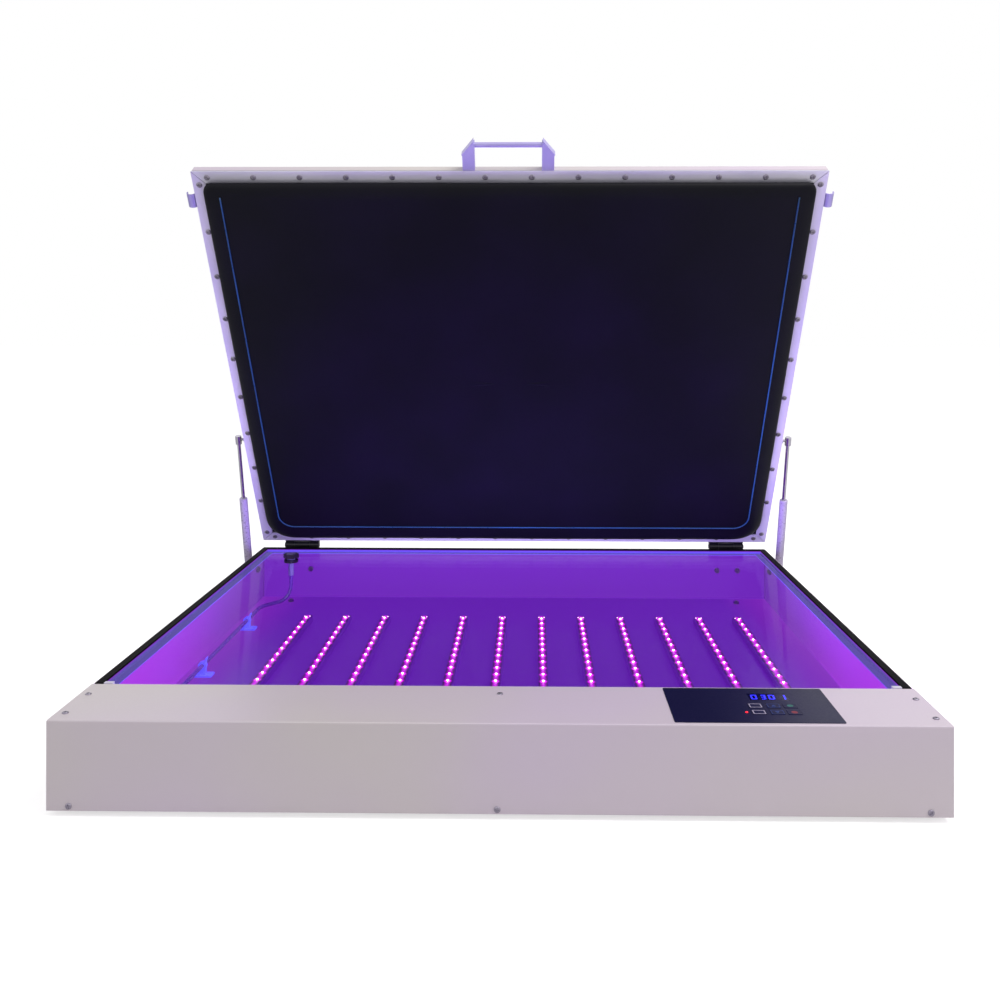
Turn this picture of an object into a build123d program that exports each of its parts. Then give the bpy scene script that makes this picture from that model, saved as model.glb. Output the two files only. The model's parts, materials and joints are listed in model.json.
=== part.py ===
from build123d import *
import math
import os

os.makedirs("parts", exist_ok=True)

# ---------------------------------------------------------------------------
# Driving dimensions, in millimetres and degrees
# ---------------------------------------------------------------------------
# Base
BASE_WIDTH = 1200.0
BASE_DEPTH = 1108.0
BASE_HEIGHT = 120.0
FOOT_HEIGHT = 8.0
SHEET = 1.5                    # steel sheet of the tray, cover and lid
SLIP = 0.2                     # gap beside a piece that slides into place
PLATE_DEPTH = 145.0            # control plate, front to back
FLANGE_WIDTH = 16.0            # inward flange along the top of the tray walls
FRONT_LIP = 20.0               # upturned lip of the tray behind the front cover
HALF_WIDTH = BASE_WIDTH / 2
INNER_HALF = HALF_WIDTH - SHEET
FLANGE_HALF = HALF_WIDTH - FLANGE_WIDTH
FLOOR_TOP = SHEET - BASE_HEIGHT            # heights are counted from the plate's top
# Glass and its frame
GLASS_THICK = 6.0
GLASS_TOP = -4.0
GLASS_LEDGE = 13.0
GASKET_WIDTH = 13.0
GASKET_HEIGHT = 2.4
# Lid
LID_LENGTH = 966.0
LID_DEPTH = 22.0
OPEN_ANGLE = 56.2
LID_GAP = 3.8                  # closed lid, from the plate's top to the strips' face
HINGE_BEHIND = 14.25           # hinge axis behind the rear wall
HINGE_ABOVE = 3.7              # hinge axis above the plate's top
HINGE_X = 508.0
HINGE_WIDTH = 80.0
HINGE_BOLT_PITCH = 48.0
HINGE_BOLT_Z = -52.0
LEAF_THICK = 5.5
LEAF_N = (2.0, 21.0)           # lid leaf, from and to, out from the strips' face
KNUCKLE_R = 8.0
PIN_R = 3.0
STRIP_WIDTH = 24.5
STRIP_THICK = 3.0
BLANKET_THICK = 1.5
SCREW_INSET = 12.3
FRONT_PITCH = 87.8
FRONT_SCREWS = 14
SIDE_PITCH = 101.2
SIDE_SCREWS = 10
SIDE_FIRST = 28.0              # first side screw, back from the lid's front edge
BLANKET_RISE = 22.0            # how far the slack rubber hangs out of the lid
# Gas struts
STRUT_X = 616.0
STRUT_BASE_Y = 1048.0
STRUT_BASE_Z = -41.0
STRUT_LID_U = 302.6
STRUT_LID_N = 13.0
ROD_SHOWN = 144.0
CYLINDER_R = 9.0
ROD_R = 4.0
BALL_R = 5.0
SOCKET_R = 7.0
NECK_R = 3.0
# LEDs
LED_BARS = 12
LED_PITCH_X = 85.0
LED_CENTRE_X = 23.0
LED_FAR_Y = 873.5
LED_PITCH_Y = 36.35
LEDS_PER_BAR = 14
BAR_LENGTH = 520.0
BAR_FAR_Y = 897.0
BAR_HEIGHT = 12.0
# Vacuum port and hose
PORT_X = -510.0
PORT_Y = 1014.0
HOSE_X = -562.0
HOSE_Z = -100.0
HOSE_R = 4.0
CLIP_Y = (536.0, 835.0)
# Controls
OVERLAY = (348.5, 73.0, 227.0, 132.0)      # centre x, centre y, width, depth
DISPLAY = (379.5, 103.5, 56.0, 27.0)
KEY_X = (354.3, 379.3, 402.3)
KEY_Y = (68.5, 44.0)
KEY_SIZE = (19.0, 16.0)
INDICATOR = (337.5, 44.0)
COVER_HEAD_R = 4.4
COVER_HEAD = 2.0               # height of the cover screws' heads
OVERLAY_THICK = 0.8
# Feet
FOOT_X = 521.0
FOOT_Y = (58.0, 1060.0)
FOOT_R = 20.0
# Latches
LATCH_Y = 205.0
LATCH_X = 609.0
LEVER_Z = -38.0
THROW = 9.0
BAIL_R = 1.5
BAIL_HALF = 18.5
KEEPER_SHEET = 2.0
CUP_R = 7.5                    # keeper's cup, inside
CUP_N = 11.0                   # cup's centre, out from the strips' face
# Handle
HANDLE_SHEET = 2.0
HANDLE_IN = 63.0
HANDLE_OUT = 86.0
HANDLE_HIGH = 55.0
HANDLE_LOW = 30.0
HANDLE_N = (2.0, 20.0)
GRIP_OUT = 48.5
GRIP_R = 5.0

# ---------------------------------------------------------------------------
# Frame of reference: x = 0 in the middle, y counted back from the front face, z from the plate's top
# ---------------------------------------------------------------------------
open_angle = math.radians(OPEN_ANGLE)
SIN = math.sin(open_angle)
COS = math.cos(open_angle)
LID_Y = HINGE_BEHIND * (1 - COS) + (LID_GAP - HINGE_ABOVE) * SIN
LID_Z = HINGE_ABOVE + HINGE_BEHIND * SIN + (LID_GAP - HINGE_ABOVE) * COS
REAR_REACH = LID_Y + LEAF_THICK * COS + LEAF_N[1] * SIN
FRONT = (COVER_HEAD - BASE_DEPTH - REAR_REACH) / 2
REAR = FRONT + BASE_DEPTH
TOP = FOOT_HEIGHT + BASE_HEIGHT

BASE = Plane(origin=(0, FRONT, TOP))
LID = Plane(origin=(0, REAR + LID_Y, TOP + LID_Z), x_dir=(1, 0, 0), z_dir=(0, -SIN, -COS))


def side_plane(x):
    """Plane of a (y, z) profile at x, with its normal along +X."""
    return Plane(origin=(x, FRONT, TOP), x_dir=(0, 1, 0), z_dir=(1, 0, 0))


def face_plane(y):
    """Plane of an (x, z) profile at y, with its normal towards the front."""
    return Plane(origin=(0, FRONT + y, TOP), x_dir=(1, 0, 0), z_dir=(0, -1, 0))


def hinge_plane(x, tilt=0.0):
    """Plane of a profile about the hinge axis, turned back by the tilt in degrees."""
    a = math.radians(tilt)
    origin = (x, REAR + HINGE_BEHIND, TOP + HINGE_ABOVE)
    return Plane(origin=origin, x_dir=(0, math.cos(a), -math.sin(a)), z_dir=(1, 0, 0))


def lid_side_plane(x):
    """Plane of a (u, w) profile of the lid at x: u from its rear edge, w out of its inside face."""
    return Plane(origin=LID.from_local_coords((x, 0, 0)), x_dir=LID.y_dir, z_dir=(1, 0, 0))


# ---------------------------------------------------------------------------
# Base: steel tray with inward top flanges and a low front lip
# ---------------------------------------------------------------------------
tray_mid = (SHEET + BASE_DEPTH) / 2
tray_depth = BASE_DEPTH - SHEET
cover_screw_x = HALF_WIDTH - 13.3
COVER_SCREW_Y = (27.0, 100.0)
COVER_SCREW_MID_Y = 111.0
FACE_SCREW_X = 570.0
FACE_SCREW_Z = -113.7
SCREW_HOLE_R = 2.2
BOLT_HOLE_R = 3.2
STUD_HOLE_R = 4.2
RIVET_Z = (-84.0, -64.0)
INLET = (100.0, -64.0, 28.0, 21.0)         # y, z, width, height of the opening
SWITCH = (52.0, -64.0, 14.0, 28.0)
INLET_DEPTH = 26.0
VENTS = (72.0, -62.0)
VENT_SLOT = (48.0, 4.0)
VENT_COUNT = 7
VENT_PITCH = 12.0
TRAY_BEND = 3.0
COVER_BEND = 2.0
rivet_places = [(LATCH_Y, z) for z in RIVET_Z]
foot_places = [(sx * FOOT_X, y) for sx in (-1, 1) for y in FOOT_Y]
side_places = [(sx * cover_screw_x, y) for sx in (-1, 1) for y in COVER_SCREW_Y]
top_places = side_places + [(0, COVER_SCREW_MID_Y)]
face_places = [(x, FACE_SCREW_Z) for x in (-FACE_SCREW_X, 0, FACE_SCREW_X)]

with BuildPart() as base_tray:
    with BuildSketch(BASE.offset(-BASE_HEIGHT)):
        with Locations((0, tray_mid)):
            Rectangle(BASE_WIDTH, tray_depth)
    extrude(amount=BASE_HEIGHT - SHEET)
    edges_up = base_tray.edges().filter_by(Axis.Z)
    fillet(edges_up.sort_by(Axis.Y)[-2:], radius=TRAY_BEND)
    with BuildSketch(BASE.offset(FLOOR_TOP)):
        with Locations((0, tray_mid)):
            RectangleRounded(BASE_WIDTH - 2 * SHEET, tray_depth - 2 * SHEET, TRAY_BEND - SHEET)
    extrude(amount=-FLOOR_TOP - 2 * SHEET, mode=Mode.SUBTRACT)
    with BuildSketch(BASE.offset(-2 * SHEET)):
        with Locations((0, (BASE_DEPTH - FLANGE_WIDTH) / 2)):
            Rectangle(2 * FLANGE_HALF, BASE_DEPTH - FLANGE_WIDTH)
    extrude(amount=2 * SHEET, mode=Mode.SUBTRACT)
    # the front wall is cut down to a lip
    with BuildSketch(BASE.offset(FRONT_LIP - BASE_HEIGHT)):
        with Locations((0, SHEET)):
            Rectangle(2 * INNER_HALF, 2 * SHEET + SLIP)
    extrude(amount=BASE_HEIGHT, mode=Mode.SUBTRACT)
    # hinge bolt holes in the rear wall
    with BuildSketch(face_plane(BASE_DEPTH)):
        with Locations((-HINGE_X, HINGE_BOLT_Z), (HINGE_X, HINGE_BOLT_Z)):
            with GridLocations(HINGE_BOLT_PITCH, 0, 2, 1):
                Circle(BOLT_HOLE_R)
    extrude(amount=2 * SHEET, mode=Mode.SUBTRACT)
    # strut stud holes and latch rivet holes through both side walls
    with BuildSketch(side_plane(-HALF_WIDTH)):
        with Locations((STRUT_BASE_Y, STRUT_BASE_Z)):
            Circle(STUD_HOLE_R)
        with Locations(*rivet_places):
            Circle(SCREW_HOLE_R)
    extrude(amount=BASE_WIDTH, mode=Mode.SUBTRACT)
    # power inlet, switch and vent openings of the front compartment
    with BuildSketch(side_plane(HALF_WIDTH)):
        with Locations(INLET[:2]):
            Rectangle(*INLET[2:])
        with Locations(SWITCH[:2]):
            Rectangle(*SWITCH[2:])
    extrude(amount=-2 * SHEET, mode=Mode.SUBTRACT)
    with BuildSketch(side_plane(-HALF_WIDTH)):
        with Locations(VENTS):
            with GridLocations(VENT_PITCH, 0, VENT_COUNT, 1):
                SlotOverall(*VENT_SLOT, rotation=90)
    extrude(amount=2 * SHEET, mode=Mode.SUBTRACT)
    # foot bolts in the floor, cover screws in the lip and flanges
    with BuildSketch(BASE.offset(-BASE_HEIGHT)):
        with Locations(*foot_places):
            Circle(BOLT_HOLE_R)
    extrude(amount=2 * SHEET, mode=Mode.SUBTRACT)
    with BuildSketch(face_plane(0)):
        with Locations(*face_places):
            Circle(SCREW_HOLE_R)
    extrude(amount=-3 * SHEET, mode=Mode.SUBTRACT)
    with BuildSketch(BASE):
        with Locations(*side_places):
            Circle(SCREW_HOLE_R)
    extrude(amount=-3 * SHEET, mode=Mode.SUBTRACT)
base_tray.part.label = "base_tray"
export_step(base_tray.part, "parts/base_tray.step")

# Front cover: one bent sheet that makes the front face and the control plate
REAR_LIP = 12.0
KEY_CLEAR = 0.4
INDICATOR_R = 2.0
INDICATOR_HOLE_R = 2.1
INDICATOR_RISE = 0.8
KEY_RISE = 0.5
with BuildPart() as front_cover:
    with BuildSketch(side_plane(-HALF_WIDTH)):
        with BuildLine():
            Polyline(
                (0, -BASE_HEIGHT),
                (0, 0),
                (PLATE_DEPTH, 0),
                (PLATE_DEPTH, -REAR_LIP),
                (PLATE_DEPTH - SHEET, -REAR_LIP),
                (PLATE_DEPTH - SHEET, -SHEET),
                (SHEET, -SHEET),
                (SHEET, -BASE_HEIGHT),
                close=True,
            )
        make_face()
    extrude(amount=BASE_WIDTH)
    bends = front_cover.edges().filter_by(Axis.X).group_by(Axis.Z)[-1]
    fillet(bends, radius=COVER_BEND)
    with BuildSketch(BASE.offset(-SHEET)):
        for sx in (-1, 1):
            with Locations((sx * HALF_WIDTH, PLATE_DEPTH)):
                Rectangle(2 * (FLANGE_WIDTH + SLIP), 2 * SHEET)
    extrude(amount=-REAR_LIP, mode=Mode.SUBTRACT)
    with BuildSketch(BASE):
        with Locations(DISPLAY[:2]):
            Rectangle(*DISPLAY[2:])
        with Locations(*[(x, y) for x in KEY_X for y in KEY_Y]):
            Rectangle(KEY_SIZE[0] + 2 * KEY_CLEAR, KEY_SIZE[1] + 2 * KEY_CLEAR)
        with Locations(INDICATOR):
            Circle(INDICATOR_HOLE_R)
        with Locations(*top_places):
            Circle(SCREW_HOLE_R)
    extrude(amount=-2 * SHEET, mode=Mode.SUBTRACT)
    with BuildSketch(face_plane(0)):
        with Locations(*face_places):
            Circle(SCREW_HOLE_R)
    extrude(amount=-SHEET, mode=Mode.SUBTRACT)
front_cover.part.label = "front_cover"
export_step(front_cover.part, "parts/front_cover.step")

# Bulkhead between the front compartment and the light chamber
BULKHEAD_Y = PLATE_DEPTH - SHEET
bar_x = [LED_CENTRE_X + (i - (LED_BARS - 1) / 2) * LED_PITCH_X for i in range(LED_BARS)]
pair_x = [(bar_x[2 * i] + bar_x[2 * i + 1]) / 2 for i in range(LED_BARS // 2)]
WIRE_Z = -108.0
BULKHEAD_TOP = -2.2 * SHEET
BULKHEAD_FOOT = 15.0
HOSE_HOLE_R = 7.0
WIRE_HOLE_R = 4.0
with BuildPart() as front_bulkhead:
    with BuildSketch(side_plane(-INNER_HALF)):
        with BuildLine():
            Polyline(
                (BULKHEAD_Y, FLOOR_TOP),
                (BULKHEAD_Y, BULKHEAD_TOP),
                (BULKHEAD_Y - SHEET, BULKHEAD_TOP),
                (BULKHEAD_Y - SHEET, FLOOR_TOP + SHEET),
                (BULKHEAD_Y - BULKHEAD_FOOT, FLOOR_TOP + SHEET),
                (BULKHEAD_Y - BULKHEAD_FOOT, FLOOR_TOP),
                close=True,
            )
        make_face()
    extrude(amount=2 * INNER_HALF)
    with BuildSketch(face_plane(BULKHEAD_Y)):
        with Locations((HOSE_X, HOSE_Z)):
            Circle(HOSE_HOLE_R)
        with Locations(*[(x, WIRE_Z) for x in pair_x]):
            Circle(WIRE_HOLE_R)
    extrude(amount=4 * SHEET, both=True, mode=Mode.SUBTRACT)
front_bulkhead.part.label = "front_bulkhead"
export_step(front_bulkhead.part, "parts/front_bulkhead.step")

# Glass frame: an angle ring under the flanges that carries the glass
REAR_LEDGE = GLASS_LEDGE - 3.0
ledge_top = GLASS_TOP - GLASS_THICK
frame_outer = FLANGE_HALF + SHEET
frame_rear = BASE_DEPTH - FLANGE_WIDTH
ledge_half = FLANGE_HALF - GLASS_LEDGE
frame_front = PLATE_DEPTH + SLIP


def ring_sketch(half_out, y_front, y_rear, half_in, y_in_front, y_in_rear):
    """A rectangular ring, drawn in the open sketch."""
    with Locations((0, (y_front + y_rear) / 2)):
        Rectangle(2 * half_out, y_rear - y_front)
    with Locations((0, (y_in_front + y_in_rear) / 2)):
        Rectangle(2 * half_in, y_in_rear - y_in_front, mode=Mode.SUBTRACT)


with BuildPart() as glass_frame:
    with BuildSketch(BASE.offset(ledge_top - SHEET)):
        ring_sketch(
            frame_outer, frame_front, frame_rear + SHEET,
            ledge_half, frame_front + GLASS_LEDGE, frame_rear - REAR_LEDGE,
        )
    extrude(amount=SHEET)
    with BuildSketch(BASE.offset(ledge_top)):
        ring_sketch(frame_outer, frame_front, frame_rear + SHEET, FLANGE_HALF, frame_front - 1, frame_rear)
    extrude(amount=-2 * SHEET - ledge_top)
glass_frame.part.label = "glass_frame"
export_step(glass_frame.part, "parts/glass_frame.step")

# Glass sheet with the hole of the vacuum port
GLASS_CLEAR = 1.2
GLASS_CORNER = 4.0
GLASS_CHAMFER = 0.6
glass_front = PLATE_DEPTH + GLASS_CLEAR
glass_rear = frame_rear - GLASS_CLEAR
PORT_HOLE_R = 10.5
with BuildPart() as glass_sheet:
    with BuildSketch(BASE.offset(ledge_top)):
        with Locations((0, (glass_front + glass_rear) / 2)):
            RectangleRounded(2 * (FLANGE_HALF - GLASS_CLEAR), glass_rear - glass_front, GLASS_CORNER)
        with Locations((PORT_X, PORT_Y)):
            Circle(PORT_HOLE_R, mode=Mode.SUBTRACT)
    extrude(amount=GLASS_THICK)
    chamfer(glass_sheet.faces().sort_by(Axis.Z)[-1].outer_wire().edges(), length=GLASS_CHAMFER)
glass_sheet.part.label = "glass_sheet"
export_step(glass_sheet.part, "parts/glass_sheet.step")

# Gasket: a rubber strip along both sides and the rear
gasket_out = FLANGE_HALF + GASKET_WIDTH
gasket_front = PLATE_DEPTH + 1.0
gasket_rear = frame_rear + GASKET_WIDTH
GASKET_EDGE = 1.2
with BuildPart() as gasket:
    with BuildSketch(BASE.offset(-SHEET)):
        with Locations((0, (gasket_front + gasket_rear) / 2)):
            Rectangle(2 * gasket_out, gasket_rear - gasket_front)
        with Locations((0, frame_rear / 2)):
            Rectangle(2 * FLANGE_HALF, frame_rear, mode=Mode.SUBTRACT)
    extrude(amount=GASKET_HEIGHT)
    fillet(gasket.faces().sort_by(Axis.Z)[-1].edges().filter_by(Axis.Y), radius=GASKET_EDGE)
gasket.part.label = "gasket"
export_step(gasket.part, "parts/gasket.step")

# Corner blocks that hold the glass down at its front corners
BLOCK = (14.0, 8.0, 4.9)
BLOCK_GAP = 0.6
BLOCK_CORNER = 1.5
BLOCK_EDGE = 0.8
with BuildPart() as corner_blocks:
    with BuildSketch(BASE.offset(GLASS_TOP)):
        for sx in (-1, 1):
            with Locations((sx * (FLANGE_HALF - BLOCK[0] / 2), PLATE_DEPTH + BLOCK_GAP + BLOCK[1] / 2)):
                RectangleRounded(BLOCK[0], BLOCK[1], BLOCK_CORNER)
    extrude(amount=BLOCK[2])
    fillet(corner_blocks.faces().group_by(Axis.Z)[-1].edges(), radius=BLOCK_EDGE)
corner_blocks.part.label = "corner_blocks"
export_step(corner_blocks.part, "parts/corner_blocks.step")

# Rubber feet, each round a recessed bolt head
FOOT_TAPER = 6.0
FOOT_RECESS_R = 7.0
FOOT_RECESS = 5.0
FOOT_WEB = 4.0                 # foot's height above the bolt's head
with BuildPart() as feet:
    with BuildSketch(BASE.offset(-BASE_HEIGHT)):
        with Locations(*foot_places):
            Circle(FOOT_R)
    extrude(amount=-FOOT_HEIGHT, taper=FOOT_TAPER)
    with BuildSketch(BASE.offset(-BASE_HEIGHT - FOOT_HEIGHT)):
        with Locations(*foot_places):
            Circle(FOOT_RECESS_R)
    extrude(amount=FOOT_RECESS, mode=Mode.SUBTRACT)
    with BuildSketch(BASE.offset(-BASE_HEIGHT)):
        with Locations(*foot_places):
            Circle(BOLT_HOLE_R)
    extrude(amount=-FOOT_WEB, mode=Mode.SUBTRACT)
feet.part.label = "feet"
export_step(feet.part, "parts/feet.step")

# ---------------------------------------------------------------------------
# Light chamber: LED bars in wired pairs, each a channel under a board with its LEDs
# ---------------------------------------------------------------------------
CHANNEL_WIDTH = 20.0
BOARD_WIDTH = 16.0
BOARD_THICK = 1.6
LED_SIZE = 3.5
LED_HEIGHT = 1.4
CHANNEL_GAP = 0.05
BOARD_LENGTH = BAR_LENGTH - 4.0
bar_mid_y = BAR_FAR_Y - BAR_LENGTH / 2
board_z = FLOOR_TOP + BAR_HEIGHT
led_mid_y = LED_FAR_Y - (LEDS_PER_BAR - 1) * LED_PITCH_Y / 2
for pair in range(LED_BARS // 2):
    with BuildPart() as led_pair:
        for x in bar_x[2 * pair : 2 * pair + 2]:
            with BuildSketch(BASE.offset(FLOOR_TOP)):
                with Locations((x, bar_mid_y)):
                    Rectangle(CHANNEL_WIDTH, BAR_LENGTH)
            extrude(amount=BAR_HEIGHT - CHANNEL_GAP)
            with BuildSketch(BASE.offset(FLOOR_TOP)):
                with Locations((x, bar_mid_y)):
                    Rectangle(CHANNEL_WIDTH - 2 * SHEET, BAR_LENGTH)
            extrude(amount=BAR_HEIGHT - 2 * SHEET, mode=Mode.SUBTRACT)
            with BuildSketch(BASE.offset(board_z)):
                with Locations((x, bar_mid_y)):
                    Rectangle(BOARD_WIDTH, BOARD_LENGTH)
            extrude(amount=BOARD_THICK)
            with BuildSketch(BASE.offset(board_z + BOARD_THICK)):
                with Locations((x, led_mid_y)):
                    with GridLocations(0, LED_PITCH_Y, 1, LEDS_PER_BAR):
                        Rectangle(LED_SIZE, LED_SIZE)
            extrude(amount=LED_HEIGHT)
    led_pair.part.label = f"led_pair_{pair + 1}"
    export_step(led_pair.part, f"parts/led_pair_{pair + 1}.step")

# ---------------------------------------------------------------------------
# Front compartment: LED drivers, vacuum pump, control board, loom and hose
# ---------------------------------------------------------------------------
DRIVER = (215.0, 98.0, 42.0)
DRIVER_X = (-190.0, 70.0)
DRIVER_Y = 70.0
DRIVER_STEP = 24.0             # open end of the case, over its terminals
STEP_HEIGHT = 14.0
TERMINAL = (14.0, 7.0, 12.0)
TERMINAL_PITCH = 9.5
TERMINALS = 9
with BuildPart() as led_drivers:
    for x in DRIVER_X:
        with BuildSketch(BASE.offset(FLOOR_TOP)):
            with Locations((x, DRIVER_Y)):
                Rectangle(DRIVER[0], DRIVER[1])
        extrude(amount=DRIVER[2])
        with BuildSketch(BASE.offset(FLOOR_TOP + STEP_HEIGHT)):
            with Locations((x + (DRIVER[0] - DRIVER_STEP) / 2, DRIVER_Y)):
                Rectangle(DRIVER_STEP, DRIVER[1] - 4 * SHEET)
        extrude(amount=DRIVER[2], mode=Mode.SUBTRACT)
        with BuildSketch(BASE.offset(FLOOR_TOP + STEP_HEIGHT)):
            with Locations((x + DRIVER[0] / 2 - 10, DRIVER_Y)):
                with GridLocations(0, TERMINAL_PITCH, 1, TERMINALS):
                    Rectangle(*TERMINAL[:2])
        extrude(amount=TERMINAL[2])
led_drivers.part.label = "led_drivers"
export_step(led_drivers.part, "parts/led_drivers.step")

PUMP_X = -440.0
PUMP_Y = 75.0
MOTOR_R = 27.0
MOTOR_Z = FLOOR_TOP + 36.0
MOTOR_LENGTH = 78.0
PUMP_FOOT = (118.0, 70.0, 4.0)
PUMP_HEAD = (56.0, 58.0, 66.0)
SADDLE = (36.0, 34.0, 14.0)
BARB_R = 5.5
BARB_LENGTH = 8.0
with BuildPart() as vacuum_pump:
    # foot plate
    with BuildSketch(BASE.offset(FLOOR_TOP)):
        with Locations((PUMP_X, PUMP_Y)):
            Rectangle(*PUMP_FOOT[:2])
    extrude(amount=PUMP_FOOT[2])
    # head block
    with BuildSketch(BASE.offset(FLOOR_TOP + PUMP_FOOT[2])):
        with Locations((PUMP_X - PUMP_HEAD[0] / 2, PUMP_Y)):
            RectangleRounded(PUMP_HEAD[0], PUMP_HEAD[1], 5)
    extrude(amount=PUMP_HEAD[2])
    # motor can on its saddle
    with BuildSketch(side_plane(PUMP_X)):
        with Locations((PUMP_Y, MOTOR_Z)):
            Circle(MOTOR_R)
    extrude(amount=MOTOR_LENGTH)
    with BuildSketch(side_plane(PUMP_X + 12)):
        with Locations((PUMP_Y, FLOOR_TOP + 10)):
            Rectangle(*SADDLE[1:])
    extrude(amount=SADDLE[0])
    # suction barb that the hose starts from
    with BuildSketch(side_plane(PUMP_X - PUMP_HEAD[0])):
        with Locations((PUMP_Y, HOSE_Z)):
            Circle(BARB_R)
    extrude(amount=-BARB_LENGTH)
vacuum_pump.part.label = "vacuum_pump"
export_step(vacuum_pump.part, "parts/vacuum_pump.step")

# Vacuum hose: from the pump, through the bulkhead, along the left wall and up to the port
hose_start = (PUMP_X - PUMP_HEAD[0] - BARB_LENGTH, PUMP_Y, HOSE_Z)
HOSE_WALL = 1.2
PORT_LOW = -46.0
hose_path = [
    hose_start,
    (HOSE_X, PUMP_Y, HOSE_Z),
    (HOSE_X, PORT_Y - 70.0, HOSE_Z),
    (PORT_X, PORT_Y, HOSE_Z),
    (PORT_X, PORT_Y, PORT_LOW),
]
HOSE_BENDS = (42.0, 60.0, 34.0)
with BuildPart() as vacuum_hose:
    with BuildLine(BASE) as hose_line:
        FilletPolyline(*hose_path, radius=HOSE_BENDS)
    with BuildSketch(Plane(origin=hose_line.wires()[0] @ 0, z_dir=hose_line.wires()[0] % 0)):
        Circle(HOSE_R)
        Circle(HOSE_R - HOSE_WALL, mode=Mode.SUBTRACT)
    sweep(path=hose_line.wires()[0])
vacuum_hose.part.label = "vacuum_hose"
export_step(vacuum_hose.part, "parts/vacuum_hose.step")
hose_section = math.pi * (HOSE_R**2 - (HOSE_R - HOSE_WALL) ** 2)
hose_length = hose_line.wires()[0].length
hose_ratio = vacuum_hose.part.volume / (hose_section * hose_length)
print("hose length", round(hose_length, 1), "volume ratio", hose_ratio)
print("hose bends", HOSE_BENDS)

# Hose clips: saddle mounts on the floor by the left wall
CLIP_FOOT = (38.0, 24.0, 3.0)
CLIP_POST = 12.0
CLIP_LENGTH = 10.0
CLIP_WALL = 3.5
CLIP_TAG = (2.0, 14.0)
with BuildPart() as hose_clips:
    for y in CLIP_Y:
        with BuildSketch(BASE.offset(FLOOR_TOP)):
            with Locations((HOSE_X, y)):
                RectangleRounded(CLIP_FOOT[0], CLIP_FOOT[1], 3)
        extrude(amount=CLIP_FOOT[2])
        with BuildSketch(face_plane(y - CLIP_LENGTH / 2)):
            with Locations((HOSE_X, (FLOOR_TOP + HOSE_Z) / 2 - 1)):
                Rectangle(CLIP_POST, HOSE_Z - FLOOR_TOP - 2)
            with Locations((HOSE_X, HOSE_Z)):
                Circle(HOSE_R + CLIP_WALL)
            with Locations((HOSE_X + 5.5, HOSE_Z + 8)):
                Rectangle(*CLIP_TAG, rotation=-20)
            with Locations((HOSE_X, HOSE_Z)):
                Circle(HOSE_R + SLIP / 2, mode=Mode.SUBTRACT)
        extrude(amount=-CLIP_LENGTH)
hose_clips.part.label = "hose_clips"
export_step(hose_clips.part, "parts/hose_clips.step")

# Vacuum port: body through the glass, hexagon nut on top with a plated bush, barb below
PORT_BARB_R = 6.0
PORT_BORE_R = 2.6
PORT_FLANGE_R = 16.0
PORT_FLANGE = 6.0
PORT_NUT = (18.0, 9.0)
PORT_BUSH = 10.0               # bush's height over the glass
PORT_BARB_TOP = ledge_top - 4.0
with BuildPart() as vacuum_port:
    with BuildSketch(BASE.offset(PORT_LOW)):
        with Locations((PORT_X, PORT_Y)):
            Circle(PORT_BARB_R)
    extrude(amount=PORT_BARB_TOP - PORT_LOW)
    with BuildSketch(BASE.offset(ledge_top - PORT_FLANGE)):
        with Locations((PORT_X, PORT_Y)):
            Circle(PORT_FLANGE_R)
    extrude(amount=PORT_FLANGE)
    with BuildSketch(BASE.offset(ledge_top)):
        with Locations((PORT_X, PORT_Y)):
            Circle(PORT_HOLE_R - 0.5)
    extrude(amount=GLASS_THICK + PORT_BUSH)
    with BuildSketch(BASE.offset(PORT_LOW)):
        with Locations((PORT_X, PORT_Y)):
            Circle(PORT_BORE_R)
    extrude(amount=60, mode=Mode.SUBTRACT)
    with BuildSketch(BASE.offset(GLASS_TOP)):
        with Locations((PORT_X, PORT_Y)):
            RegularPolygon(PORT_NUT[0], 6)
            Circle(PORT_HOLE_R - 0.5, mode=Mode.SUBTRACT)
    extrude(amount=PORT_NUT[1])
vacuum_port.part.label = "vacuum_port"
export_step(vacuum_port.part, "parts/vacuum_port.step")

# Control board, hung from the control plate on four posts
BOARD_LOW = -12.0
KEY_TRAVEL = 0.4
key_bottom = -2.5
BOARD_THIN = 1.6
BOARD_INSET = 16.0
POST_R = 3.0
DISPLAY_UNDER = -2.0           # top of the display module
SWITCH_GAP = 0.4               # between a pressed key and its switch
with BuildPart() as control_board:
    with BuildSketch(BASE.offset(BOARD_LOW)):
        with Locations(OVERLAY[:2]):
            Rectangle(OVERLAY[2] - BOARD_INSET, OVERLAY[3] - BOARD_INSET)
    extrude(amount=BOARD_THIN)
    with BuildSketch(BASE.offset(BOARD_LOW + BOARD_THIN)):
        with Locations(OVERLAY[:2]):
            with GridLocations(OVERLAY[2] - 28, OVERLAY[3] - 28, 2, 2):
                Circle(POST_R)
    extrude(amount=-SHEET - BOARD_LOW - BOARD_THIN)
    with BuildSketch(BASE.offset(BOARD_LOW + BOARD_THIN)):
        with Locations(*[(x, y) for x in KEY_X for y in KEY_Y]):
            Rectangle(6, 6)
    extrude(amount=key_bottom - KEY_TRAVEL - SWITCH_GAP - BOARD_LOW - BOARD_THIN)
    with BuildSketch(BASE.offset(BOARD_LOW + BOARD_THIN)):
        with Locations(DISPLAY[:2]):
            Rectangle(DISPLAY[2] - 2, DISPLAY[3] - 2)
    extrude(amount=DISPLAY_UNDER - BOARD_LOW - BOARD_THIN)
control_board.part.label = "control_board"
export_step(control_board.part, "parts/control_board.step")

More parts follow.
